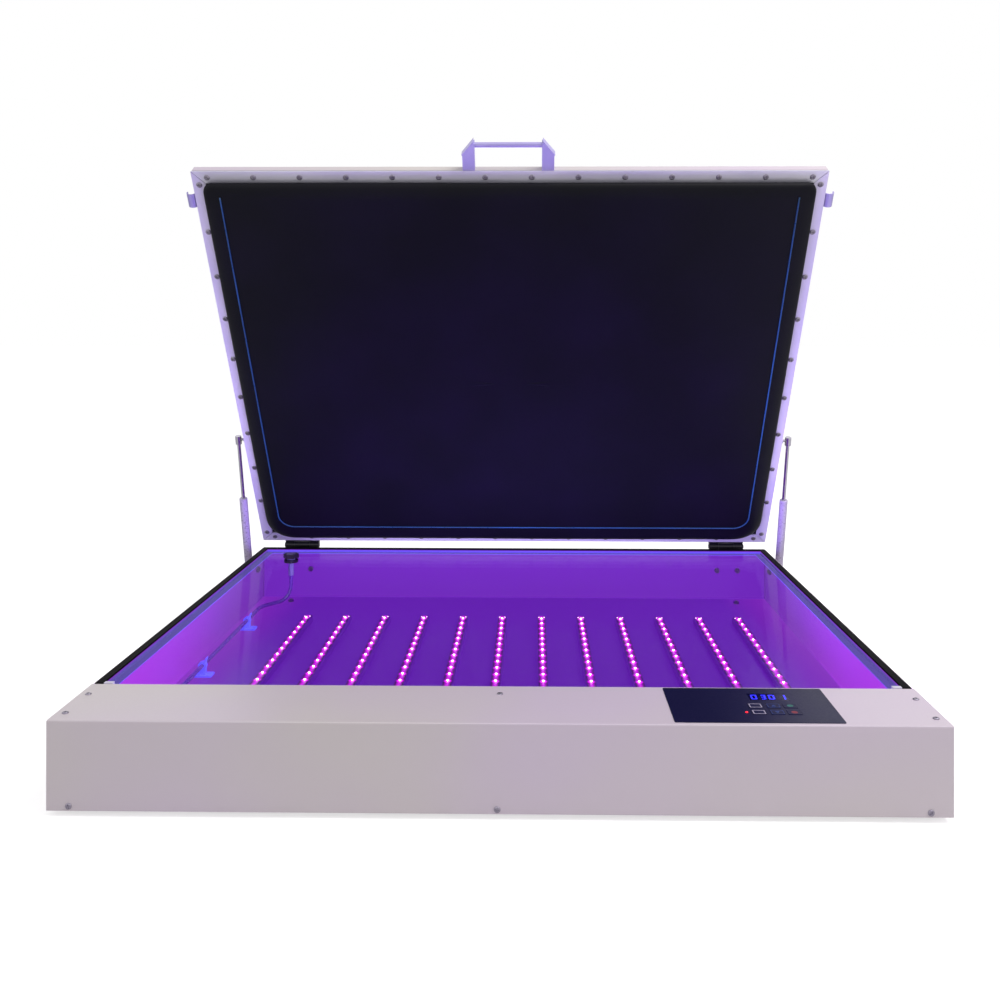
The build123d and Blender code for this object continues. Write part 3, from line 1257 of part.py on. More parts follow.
with BuildPart() as base_stud_right:
    with Locations(base_ball):
        Sphere(BALL_R)
    with BuildSketch(Plane(origin=base_ball, z_dir=(-1, 0, 0))):
        Circle(NECK_R)
    extrude(amount=STRUT_X - HALF_WIDTH)
    with BuildSketch(side_plane(HALF_WIDTH)):
        with Locations((STRUT_BASE_Y, STRUT_BASE_Z)):
            RegularPolygon(BASE_HEX[0], 6)
    extrude(amount=BASE_HEX[1])
    with BuildSketch(side_plane(HALF_WIDTH)):
        with Locations((STRUT_BASE_Y, STRUT_BASE_Z)):
            Circle(STUD_SHANK[0])
    extrude(amount=-STUD_SHANK[1])
    with BuildSketch(side_plane(INNER_HALF)):
        with Locations((STRUT_BASE_Y, STRUT_BASE_Z)):
            RegularPolygon(BASE_HEX[0], 6)
    extrude(amount=-BASE_HEX[2])

with BuildPart() as lid_stud_right:
    with BuildSketch(lid_side_plane(HALF_WIDTH)):
        with Locations((STRUT_LID_U, -STRUT_LID_N)):
            RegularPolygon(LID_HEX[0], 6)
    extrude(amount=LID_HEX[1])
    with BuildSketch(lid_side_plane(INNER_HALF - LID_STUD_IN)):
        with Locations((STRUT_LID_U, -STRUT_LID_N)):
            Circle(NECK_R)
    extrude(amount=STRUT_X - SOCKET_R - STUD_GAP - INNER_HALF + LID_STUD_IN)
    with BuildSketch(lid_side_plane(INNER_HALF)):
        with Locations((STRUT_LID_U, -STRUT_LID_N)):
            RegularPolygon(LID_NUT[0], 6)
    extrude(amount=-LID_NUT[1])

for name, piece in (("strut_cylinder", strut_cylinder_right), ("strut_rod", strut_rod_right)):
    piece.part.label = f"{name}_right"
    export_step(piece.part, f"parts/{name}_right.step")
    with BuildPart() as left_piece:
        mirror(piece.part, about=Plane.YZ)
    left_piece.part.label = f"{name}_left"
    export_step(left_piece.part, f"parts/{name}_left.step")

for name, piece in (("strut_base_studs", base_stud_right), ("strut_lid_studs", lid_stud_right)):
    with BuildPart() as studs:
        add(piece.part)
        mirror(piece.part, about=Plane.YZ)
    studs.part.label = name
    export_step(studs.part, f"parts/{name}.step")

# ---------------------------------------------------------------------------
# Toggle latches on the side walls, right side drawn and mirrored; lever down, wire bail hanging
# ---------------------------------------------------------------------------
LUG_Y = (12.0, 14.0)
CHEEK_Y = (8.5, 10.5)
PLATE_HALF = 15.0
LATCH_SHEET = 2.0
LEVER_PIN_R = 2.0
LEVER_TIP_Z = -90.0
LEAN = math.radians(15)
LUG_R = 4.0
LEVER_R = 5.5
BAIL_EYE_R = 3.2
LATCH_PLATE = (66.0, -61.0)    # height and middle
CUP_PLAY = 0.3
bail_x = LATCH_X - THROW * math.sin(LEAN)
bail_z = LEVER_Z - THROW * math.cos(LEAN)
bail_reach = math.hypot(cup_x - bail_x, LID_GAP + CUP_N - CUP_R + BAIL_R + CUP_PLAY - bail_z)


def latch_plane(y):
    """Plane of an (x, z) profile at y from the latch's middle, with its normal towards the rear."""
    return Plane(origin=(0, FRONT + LATCH_Y + y, TOP), x_dir=(-1, 0, 0), z_dir=(0, 1, 0))


with BuildPart() as latch_plate_right:
    with BuildSketch(side_plane(HALF_WIDTH)):
        with Locations((LATCH_Y, LATCH_PLATE[1])):
            RectangleRounded(2 * PLATE_HALF, LATCH_PLATE[0], 3)
        with Locations(*rivet_places):
            Circle(SCREW_HOLE_R, mode=Mode.SUBTRACT)
    extrude(amount=LATCH_SHEET)
    for y in (-LUG_Y[1], LUG_Y[0]):
        with BuildSketch(latch_plane(y)):
            with Locations((-LATCH_X, LEVER_Z)):
                Circle(LUG_R)
            Polygon(
                (-HALF_WIDTH - 1, LEVER_Z + 9), (-HALF_WIDTH - 1, LEVER_Z - LUG_R),
                (-LATCH_X, LEVER_Z - LUG_R), (-LATCH_X, LEVER_Z + LUG_R), align=None,
            )
        extrude(amount=LUG_Y[1] - LUG_Y[0])
    with BuildSketch(latch_plane(-LUG_Y[1])):
        with Locations((-LATCH_X, LEVER_Z)):
            Circle(LEVER_PIN_R)
    extrude(amount=2 * LUG_Y[1])

with BuildPart() as latch_lever_right:
    with BuildSketch(latch_plane(-CHEEK_Y[1])):
        with Locations((-LATCH_X, LEVER_Z)):
            Circle(LEVER_R)
        with Locations((-bail_x, bail_z)):
            Circle(BAIL_EYE_R)
        Polygon(
            (-LATCH_X - 6, LEVER_Z - 3), (-LATCH_X - 6, LEVER_TIP_Z), (-LATCH_X - 2, LEVER_TIP_Z),
            (-LATCH_X + 4, bail_z - 6), (-LATCH_X + 5, LEVER_Z), align=None,
        )
    extrude(amount=2 * CHEEK_Y[1])
    with BuildSketch(latch_plane(-CHEEK_Y[0])):
        Polygon(
            (-LATCH_X - 4, LEVER_Z + 8), (-LATCH_X - 4, LEVER_TIP_Z + 2), (-LATCH_X + 10, LEVER_TIP_Z + 2),
            (-LATCH_X + 10, LEVER_Z + 8), align=None,
        )
    extrude(amount=2 * CHEEK_Y[0], mode=Mode.SUBTRACT)
    with BuildSketch(latch_plane(-CHEEK_Y[1])):
        with Locations((-LATCH_X, LEVER_Z)):
            Circle(LEVER_PIN_R + BALL_CLEAR)
        with Locations((-bail_x, bail_z)):
            Circle(BAIL_R + BALL_CLEAR)
    extrude(amount=2 * CHEEK_Y[1], mode=Mode.SUBTRACT)

BAIL_BEND = 4.0
BAIL_END = CHEEK_Y[0] - CUP_PLAY
bail_plane = Plane(origin=(bail_x, FRONT + LATCH_Y, TOP + bail_z), x_dir=(0, 1, 0), z_dir=(1, 0, 0))
bail_path = [
    (BAIL_END, 0),
    (BAIL_HALF, 0),
    (BAIL_HALF, -bail_reach),
    (-BAIL_HALF, -bail_reach),
    (-BAIL_HALF, 0),
    (-BAIL_END, 0),
]
with BuildPart() as latch_bail_right:
    with BuildLine(bail_plane) as bail_line:
        FilletPolyline(*bail_path, radius=BAIL_BEND)
    with BuildSketch(Plane(origin=bail_line.wires()[0] @ 0, z_dir=bail_line.wires()[0] % 0)):
        Circle(BAIL_R)
    sweep(path=bail_line.wires()[0])

for name, piece in (("latch_lever", latch_lever_right), ("latch_bail", latch_bail_right)):
    piece.part.label = f"{name}_right"
    export_step(piece.part, f"parts/{name}_right.step")
    with BuildPart() as left_piece:
        mirror(piece.part, about=Plane.YZ)
    left_piece.part.label = f"{name}_left"
    export_step(left_piece.part, f"parts/{name}_left.step")

with BuildPart() as latch_plates:
    add(latch_plate_right.part)
    mirror(latch_plate_right.part, about=Plane.YZ)
latch_plates.part.label = "latch_plates"
export_step(latch_plates.part, "parts/latch_plates.step")

# ---------------------------------------------------------------------------
# Fasteners of the base
# ---------------------------------------------------------------------------
with BuildPart() as cover_screws:
    with BuildSketch(BASE):
        with Locations(*top_places):
            Circle(COVER_HEAD_R)
    extrude(amount=COVER_HEAD)
    with BuildSketch(BASE):
        with Locations(*top_places):
            Circle(SHANK_R)
    extrude(amount=-8)
    with BuildSketch(face_plane(0)):
        with Locations(*face_places):
            Circle(COVER_HEAD_R)
    extrude(amount=COVER_HEAD)
    with BuildSketch(face_plane(0)):
        with Locations(*face_places):
            Circle(SHANK_R)
    extrude(amount=-8)
cover_screws.part.label = "cover_screws"
export_step(cover_screws.part, "parts/cover_screws.step")

BOLT_R = 3.0
NUT_R = 6.5
NUT_HEIGHT = 5.0
HINGE_HEAD = (5.0, 3.0)
FOOT_HEAD = (6.0, 2.5)
RIVET_HEAD = (3.5, 1.2)
RIVET_LENGTH = 7.0
hinge_places = [(sx * HINGE_X + dx * HINGE_BOLT_PITCH / 2, HINGE_BOLT_Z) for sx in (-1, 1) for dx in (-1, 1)]
with BuildPart() as base_bolts:
    # hinge bolts: head on the leaf, nut inside the rear wall
    with BuildSketch(face_plane(BASE_DEPTH + LEAF_THICK)):
        with Locations(*hinge_places):
            Circle(HINGE_HEAD[0])
    extrude(amount=-HINGE_HEAD[1])
    with BuildSketch(face_plane(BASE_DEPTH + LEAF_THICK)):
        with Locations(*hinge_places):
            Circle(BOLT_R)
    extrude(amount=LEAF_THICK + SHEET + NUT_HEIGHT + 3)
    with BuildSketch(face_plane(BASE_DEPTH - SHEET)):
        with Locations(*hinge_places):
            RegularPolygon(NUT_R, 6)
    extrude(amount=NUT_HEIGHT)
    # foot bolts: head in the foot's recess, nut on the floor
    with BuildSketch(BASE.offset(-BASE_HEIGHT - FOOT_WEB)):
        with Locations(*foot_places):
            Circle(FOOT_HEAD[0])
    extrude(amount=-FOOT_HEAD[1])
    with BuildSketch(BASE.offset(-BASE_HEIGHT - FOOT_WEB)):
        with Locations(*foot_places):
            Circle(BOLT_R)
    extrude(amount=FOOT_WEB + SHEET + NUT_HEIGHT + 2)
    with BuildSketch(BASE.offset(FLOOR_TOP)):
        with Locations(*foot_places):
            RegularPolygon(NUT_R, 6)
    extrude(amount=NUT_HEIGHT)
    # latch rivets
    for sx in (-1, 1):
        with BuildSketch(side_plane(sx * (HALF_WIDTH + LATCH_SHEET))):
            with Locations(*rivet_places):
                Circle(RIVET_HEAD[0])
        extrude(amount=sx * RIVET_HEAD[1])
        with BuildSketch(side_plane(sx * (HALF_WIDTH + LATCH_SHEET))):
            with Locations(*rivet_places):
                Circle(SHANK_R)
        extrude(amount=-sx * RIVET_LENGTH)
base_bolts.part.label = "base_bolts"
export_step(base_bolts.part, "parts/base_bolts.step")
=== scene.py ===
"""Screen printing exposure unit: finishes, rubber blanket, screws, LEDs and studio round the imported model.

Everything is in the model's own frame: metres, X to the right, Y to the rear, Z up from the floor.
Sizes of the machine are written in millimetres.
"""

import json
import logging
import math
from collections.abc import Callable, Iterable, Sequence
from dataclasses import dataclass
from enum import Enum
from typing import Any

import bpy
from mathutils import Euler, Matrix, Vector


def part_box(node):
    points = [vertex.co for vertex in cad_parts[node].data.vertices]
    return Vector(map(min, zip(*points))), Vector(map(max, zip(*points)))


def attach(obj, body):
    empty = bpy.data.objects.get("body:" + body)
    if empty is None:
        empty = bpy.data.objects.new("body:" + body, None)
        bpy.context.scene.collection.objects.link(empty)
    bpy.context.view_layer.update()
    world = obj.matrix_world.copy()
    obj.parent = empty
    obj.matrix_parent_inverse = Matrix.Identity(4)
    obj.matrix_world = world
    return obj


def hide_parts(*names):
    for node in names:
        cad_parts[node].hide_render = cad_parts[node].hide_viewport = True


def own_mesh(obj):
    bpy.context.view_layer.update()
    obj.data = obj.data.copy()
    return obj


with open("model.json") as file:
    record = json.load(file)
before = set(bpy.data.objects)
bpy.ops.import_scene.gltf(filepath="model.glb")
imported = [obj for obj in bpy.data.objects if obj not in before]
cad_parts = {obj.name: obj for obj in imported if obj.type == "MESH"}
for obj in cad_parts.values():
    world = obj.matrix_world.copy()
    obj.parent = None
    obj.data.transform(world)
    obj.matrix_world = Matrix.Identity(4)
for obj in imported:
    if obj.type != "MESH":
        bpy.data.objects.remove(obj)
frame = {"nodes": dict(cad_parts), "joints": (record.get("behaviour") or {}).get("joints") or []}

log = logging.getLogger("exposure_unit")
MM = 0.001


# ---------------------------------------------------------------------------
# Small tools
# ---------------------------------------------------------------------------
def linear(code: str) -> tuple[float, float, float, float]:
    """Turns an sRGB hex colour into linear light.

    Args:
        code: the colour as "#RRGGBB".

    Returns:
        Red, green, blue and an alpha of 1.
    """
    channels = [int(code[i : i + 2], 16) / 255 for i in (1, 3, 5)]
    light = [c / 12.92 if c <= 0.04045 else ((c + 0.055) / 1.055) ** 2.4 for c in channels]
    return (light[0], light[1], light[2], 1.0)


def add_node(
    tree: bpy.types.NodeTree, kind: str, sockets: dict | None = None, **settings: Any
) -> bpy.types.Node:
    """Adds one node with its settings, its values and its links.

    Args:
        tree: the material's, the world's or the modifier's tree.
        kind: the node's type name.
        sockets: input by name or number; another node's output is linked, anything else is its value.
        **settings: the node's own properties.

    Returns:
        The new node.
    """
    node = tree.nodes.new(kind)
    for name, value in settings.items():
        setattr(node, name, value)
    for name, value in (sockets or {}).items():
        if isinstance(value, bpy.types.NodeSocket):
            tree.links.new(value, node.inputs[name])
        else:
            node.inputs[name].default_value = value
    return node


def solid(
    name: str,
    points: Sequence[Vector],
    faces: Sequence[Sequence[int]],
    finish: bpy.types.Material,
    smooth: bool = False,
) -> bpy.types.Object:
    """Makes a mesh piece whose place is in its mesh.

    Args:
        name: the piece's name.
        points: its corners, in metres.
        faces: its faces, counterclockwise from outside.
        finish: its material.
        smooth: whether its faces shade as one surface.

    Returns:
        The new object, linked to the scene.
    """
    mesh = bpy.data.meshes.new(name)
    mesh.from_pydata([tuple(p) for p in points], [], [list(f) for f in faces])
    mesh.materials.append(finish)
    mesh.shade_smooth() if smooth else mesh.shade_flat()
    mesh.validate()
    made = bpy.data.objects.new(name, mesh)
    bpy.context.scene.collection.objects.link(made)
    return made


def plates(
    name: str,
    outlines: Iterable[Sequence[tuple[float, float]]],
    place: Callable[[float, float, float], Vector],
    low: float,
    high: float,
    finish: bpy.types.Material,
) -> bpy.types.Object:
    """Makes one piece of thin flat prisms.

    Args:
        name: the piece's name.
        outlines: counterclockwise outlines, in millimetres.
        place: gives the point in metres for two flat coordinates and a height.
        low: height of the underside.
        high: height of the top.
        finish: the material.

    Returns:
        The new piece.
    """
    points: list[Vector] = []
    faces: list[list[int]] = []
    for outline in outlines:
        start, count = len(points), len(outline)
        points += [place(a, b, low) for a, b in outline] + [place(a, b, high) for a, b in outline]
        faces.append([start + i for i in reversed(range(count))])
        faces.append([start + count + i for i in range(count)])
        for i in range(count):
            j = (i + 1) % count
            faces.append([start + i, start + j, start + count + j, start + count + i])
    return solid(name, points, faces, finish)


def plain_mesh(piece: bpy.types.Object) -> bpy.types.Object:
    """Turns what a piece's modifiers give into its own plain mesh, and removes them.

    Args:
        piece: the object to settle.

    Returns:
        The same object.
    """
    bpy.context.view_layer.update()
    graph = bpy.context.evaluated_depsgraph_get()
    mesh = bpy.data.meshes.new_from_object(piece.evaluated_get(graph), depsgraph=graph)
    piece.modifiers.clear()
    piece.data = mesh
    mesh.name = piece.name
    return piece


def grow(piece: bpy.types.Object, tree: bpy.types.NodeTree, **inputs: Any) -> bpy.types.Object:
    """Runs a geometry tree on a piece and keeps its result as a plain mesh.

    Args:
        piece: the object whose mesh the tree starts from.
        tree: the geometry tree.
        **inputs: the tree's named inputs, with _ for each space.

    Returns:
        The same object.
    """
    modifier = piece.modifiers.new(tree.name, "NODES")
    modifier.node_group = tree
    for item in tree.interface.items_tree:
        key = item.name.lower().replace(" ", "_")
        if item.in_out == "INPUT" and key in inputs:
            modifier[item.identifier] = inputs[key]
    return plain_mesh(piece)


def keep(piece: bpy.types.Object, body: str, slot: str, *stands_for: str) -> bpy.types.Object:
    """Fixes a finished piece to its body and hides the nodes that it stands for.

    Args:
        piece: the finished piece.
        body: the body that it moves with.
        slot: the record's material slot; not used.
        *stands_for: the nodes that it replaces.

    Returns:
        The same piece.
    """
    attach(piece, body)
    if stands_for:
        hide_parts(*stands_for)
    log.info("%s rides on %s, %d faces", piece.name, body, len(piece.data.polygons))
    return piece


# ---------------------------------------------------------------------------
# Frames of reference
# ---------------------------------------------------------------------------
class Machine:
    """The base's frame: across from the middle, back from the front face and up from the control plate.

    The light chamber's inner faces are counted in the same way.
    """

    chamber_half: float = 598.5
    chamber_front: float = 143.5
    chamber_rear: float = 1106.5
    chamber_floor: float = -118.5
    chamber_roof: float = -1.5

    def __init__(self) -> None:
        """Reads the front face and the plate's top from the front cover."""
        low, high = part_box("front_cover")
        self.front = low.y
        self.top = high.z

    def at(self, x: float, y: float, z: float) -> Vector:
        """Gives the point in metres for a place in millimetres."""
        return Vector((x * MM, self.front + y * MM, self.top + z * MM))

    def chamber(self, margin: float) -> tuple[Vector, Vector]:
        """Gives the light chamber's box, grown by a margin that takes its walls' faces in.

        Args:
            margin: how far the box reaches past the faces, in millimetres.

        Returns:
            Its low and high corners, in metres.
        """
        half = self.chamber_half + margin
        low = self.at(-half, self.chamber_front - margin, self.chamber_floor - margin)
        return low, self.at(half, self.chamber_rear + margin, self.chamber_roof + margin)


class OpenLid:
    """The open lid's frame: across, up from its rear edge, and out of the strips' face."""

    strip_thick: float = 3.0

    def __init__(self) -> None:
        """Reads the lid's angle from its hinge and its rear edge from the rear strip."""
        hinge = next(j for j in frame["joints"] if j["name"] == "lid_hinge")
        self.angle = math.radians(hinge["range_deg"][1])
        self.up = Vector((0, -math.cos(self.angle), math.sin(self.angle)))
        self.out = Vector((0, -math.sin(self.angle), -math.cos(self.angle)))
        low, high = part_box("strip_rear")
        back = self.strip_thick * MM * math.sin(self.angle)
        self.origin = Vector((0, high.y - back, low.z))

    def at(self, x: float, u: float, w: float) -> Vector:
        """Gives the point in metres for a place in millimetres."""
        return self.origin + Vector((x * MM, 0, 0)) + self.up * (u * MM) + self.out * (w * MM)


# ---------------------------------------------------------------------------
# Finishes
# ---------------------------------------------------------------------------
@dataclass(frozen=True)
class Finish:
    """A finish with slow drifts of colour and a fine grain in its gloss and relief.

    The sizes are the real ones in millimetres. stretch draws the grain out along the piece's own axes, and
    turn is how far the piece leans back about X, in degrees.
    """

    name: str
    colour: str
    drift: str
    roughness: float
    spread: float = 0.06
    metallic: float = 0.0
    cloud_mm: float = 120.0
    grain_mm: float = 4.0
    relief_mm: float = 0.02
    stretch: tuple[float, float, float] = (1.0, 1.0, 1.0)
    turn: float = 0.0
    coat: float = 0.0
    ior: float = 1.5
    colour_stops: tuple[float, float] = (0.35, 0.65)
    grain_range: tuple[float, float] = (0.3, 0.7)
    least_roughness: float = 0.02

    def start(
        self,
    ) -> tuple[bpy.types.Material, bpy.types.NodeTree, bpy.types.Node, bpy.types.NodeSocket]:
        """Makes the material with its shader.

        Returns:
            The material, its tree, its shader and the piece's own coordinates.
        """
        material = bpy.data.materials.new(self.name)
        material.use_nodes = True
        tree = material.node_tree
        shader = tree.nodes["Principled BSDF"]
        shader.inputs["Metallic"].default_value = self.metallic
        shader.inputs["Coat Weight"].default_value = self.coat
        if not self.metallic:
            shader.inputs["IOR"].default_value = self.ior
        return material, tree, shader, add_node(tree, "ShaderNodeTexCoord").outputs["Object"]

    def pattern(self, tree: bpy.types.NodeTree, shader: bpy.types.Node, place: bpy.types.NodeSocket) -> None:
        """Gives the shader its drifts of colour, its gloss and its relief.

        Args:
            tree: the material's tree.
            shader: its shader.
            place: the piece's own coordinates.
        """
        lean = Euler((math.radians(self.turn), 0, 0))
        sockets = {"Vector": place, "Rotation": lean, "Scale": self.stretch}
        along = add_node(tree, "ShaderNodeMapping", sockets, vector_type="TEXTURE")
        cloud_scale, grain_scale = 1 / (self.cloud_mm * MM), 1 / (self.grain_mm * MM)
        cloud = add_node(
            tree, "ShaderNodeTexNoise", {"Vector": place, "Scale": cloud_scale, "Detail": 3.0}
        )
        grain = add_node(
            tree, "ShaderNodeTexNoise", {"Vector": along.outputs[0], "Scale": grain_scale, "Detail": 2.0}
        )
        ramp = add_node(tree, "ShaderNodeValToRGB", {"Fac": cloud.outputs["Fac"]})
        stops = zip(ramp.color_ramp.elements, self.colour_stops, (self.colour, self.drift))
        for stop, position, colour in stops:
            stop.position = position
            stop.color = linear(colour)
        gloss = add_node(
            tree,
            "ShaderNodeMapRange",
            {
                "Value": grain.outputs["Fac"],
                "From Min": self.grain_range[0],
                "From Max": self.grain_range[1],
                "To Min": max(self.least_roughness, self.roughness - self.spread),
                "To Max": self.roughness + self.spread,
            },
        )
        relief = add_node(
            tree,
            "ShaderNodeBump",
            {"Height": grain.outputs["Fac"], "Strength": 1.0, "Distance": self.relief_mm * MM},
        )
        tree.links.new(ramp.outputs["Color"], shader.inputs["Base Color"])
        tree.links.new(gloss.outputs[0], shader.inputs["Roughness"])
        tree.links.new(relief.outputs[0], shader.inputs["Normal"])

    def material(self) -> bpy.types.Material:
        """Builds the finish.

        Returns:
            Its material.
        """
        material, tree, shader, place = self.start()
        self.pattern(tree, shader, place)
        return material


@dataclass(frozen=True)
class FloatGlass(Finish):
    """Clear float glass, faintly green, which lamps shine through as they do through a real pane."""

    tint: str = "#EEF6F4"

    def material(self) -> bpy.types.Material:
        """Builds the finish: a smooth pane that bends light, and lets lamplight through.

        Returns:
            Its material.
        """
        material, tree, shader, _ = self.start()
        shader.inputs["Base Color"].default_value = linear(self.tint)
        shader.inputs["Roughness"].default_value = self.roughness
        shader.inputs["Transmission Weight"].default_value = 1.0
        rays = add_node(tree, "ShaderNodeLightPath")
        clear = add_node(tree, "ShaderNodeBsdfTransparent", {"Color": linear(self.tint)})
        through = add_node(
            tree,
            "ShaderNodeMixShader",
            {0: rays.outputs["Is Shadow Ray"], 1: shader.outputs[0], 2: clear.outputs[0]},
        )
        tree.links.new(through.outputs[0], tree.nodes["Material Output"].inputs["Surface"])
        return material


@dataclass(frozen=True)
class Glow(Finish):
    """A surface that shines with its own light, all over alike."""

    strength: float = 1.0

    def material(self) -> bpy.types.Material:
        """Builds the finish with its own light.

        Returns:
            Its material.
        """
        material, tree, shader, place = self.start()
        self.pattern(tree, shader, place)
        shader.inputs["Emission Color"].default_value = linear(self.colour)
        shader.inputs["Emission Strength"].default_value = self.strength
        return material


@dataclass(frozen=True)
class LedBoard(Finish):
    """Solder mask on an aluminium board, painted dark violet for the LEDs' light and given a painted magenta
    glow round each of them.

    first is the first LED's place and top the height over which the board counts as its upper face, both in
    metres. spot, band and side are strengths of the painted glow: at an LED, along the row, and on the
    channel below.
    """

    first: tuple[float, float] = (0.0, 0.0)
    pitch: tuple[float, float] = (85.0, 36.35)
    # painted light: the magenta glow round the LEDs, and the violet on the channel below
    glow: str = "#F414FF"
    side_glow: str = "#5A149C"
    reach_mm: float = 10.0
    half_width_mm: float = 7.5
    spot: float = 1.8
    band: float = 0.8
    side: float = 0.7
    top: float = 0.0

    def falloff(
        self, tree: bpy.types.NodeTree, away: bpy.types.NodeSocket, reach_mm: float, most: float
    ) -> bpy.types.NodeSocket:
        """Gives a strength that falls smoothly to nothing over a distance.

        Args:
            tree: the material's tree.
            away: the distance, in metres.
            reach_mm: where the strength ends, in millimetres.
            most: the strength at no distance.

        Returns:
            The strength.
        """
        return add_node(
            tree,
            "ShaderNodeMapRange",
            {"Value": away, "From Min": 0.0, "From Max": reach_mm * MM, "To Min": most, "To Max": 0.0},
            interpolation_type="SMOOTHSTEP",
        ).outputs[0]

    def gap(self, tree: bpy.types.NodeTree, parts: bpy.types.Node, axis: int) -> bpy.types.NodeSocket:
        """Gives the distance to the nearest row of LEDs along an axis, in metres.

        Args:
            tree: the material's tree.
            parts: the node that splits the piece's coordinates.
            axis: 0 for across, 1 for front to back.

        Returns:
            The distance.
        """
        shifted = add_node(
            tree, "ShaderNodeMath", {0: parts.outputs[axis], 1: self.first[axis]}, operation="SUBTRACT"
        )
        half_pitch = self.pitch[axis] * MM / 2
        return add_node(
            tree, "ShaderNodeMath", {0: shifted.outputs[0], 1: half_pitch}, operation="PINGPONG"
        ).outputs[0]

    def material(self) -> bpy.types.Material:
        """Builds the finish: painted glow in spots round the LEDs and a band between them, on the board's top
        alone.

        Returns:
            Its material.
        """
        material, tree, shader, place = self.start()
        self.pattern(tree, shader, place)
        parts = add_node(tree, "ShaderNodeSeparateXYZ", {0: place})
        across, along = self.gap(tree, parts, 0), self.gap(tree, parts, 1)
        offset = add_node(tree, "ShaderNodeCombineXYZ", {0: across, 1: along})
        away = add_node(tree, "ShaderNodeVectorMath", {0: offset.outputs[0]}, operation="LENGTH")
        spots = self.falloff(tree, away.outputs["Value"], self.reach_mm, self.spot)
        band = self.falloff(tree, across, self.half_width_mm, self.band)
        lit = add_node(tree, "ShaderNodeMath", {0: spots, 1: band}, operation="ADD")
        above = add_node(
            tree, "ShaderNodeMath", {0: parts.outputs[2], 1: self.top}, operation="GREATER_THAN"
        )
        power = add_node(tree, "ShaderNodeMix", {0: above.outputs[0], 2: self.side, 3: lit.outputs[0]})
        colour = add_node(
            tree,
            "ShaderNodeMix",
            {0: above.outputs[0], 6: linear(self.side_glow), 7: linear(self.glow)},
            data_type="RGBA",
        )
        tree.links.new(colour.outputs[2], shader.inputs["Emission Color"])
        tree.links.new(power.outputs[0], shader.inputs["Emission Strength"])
        return material


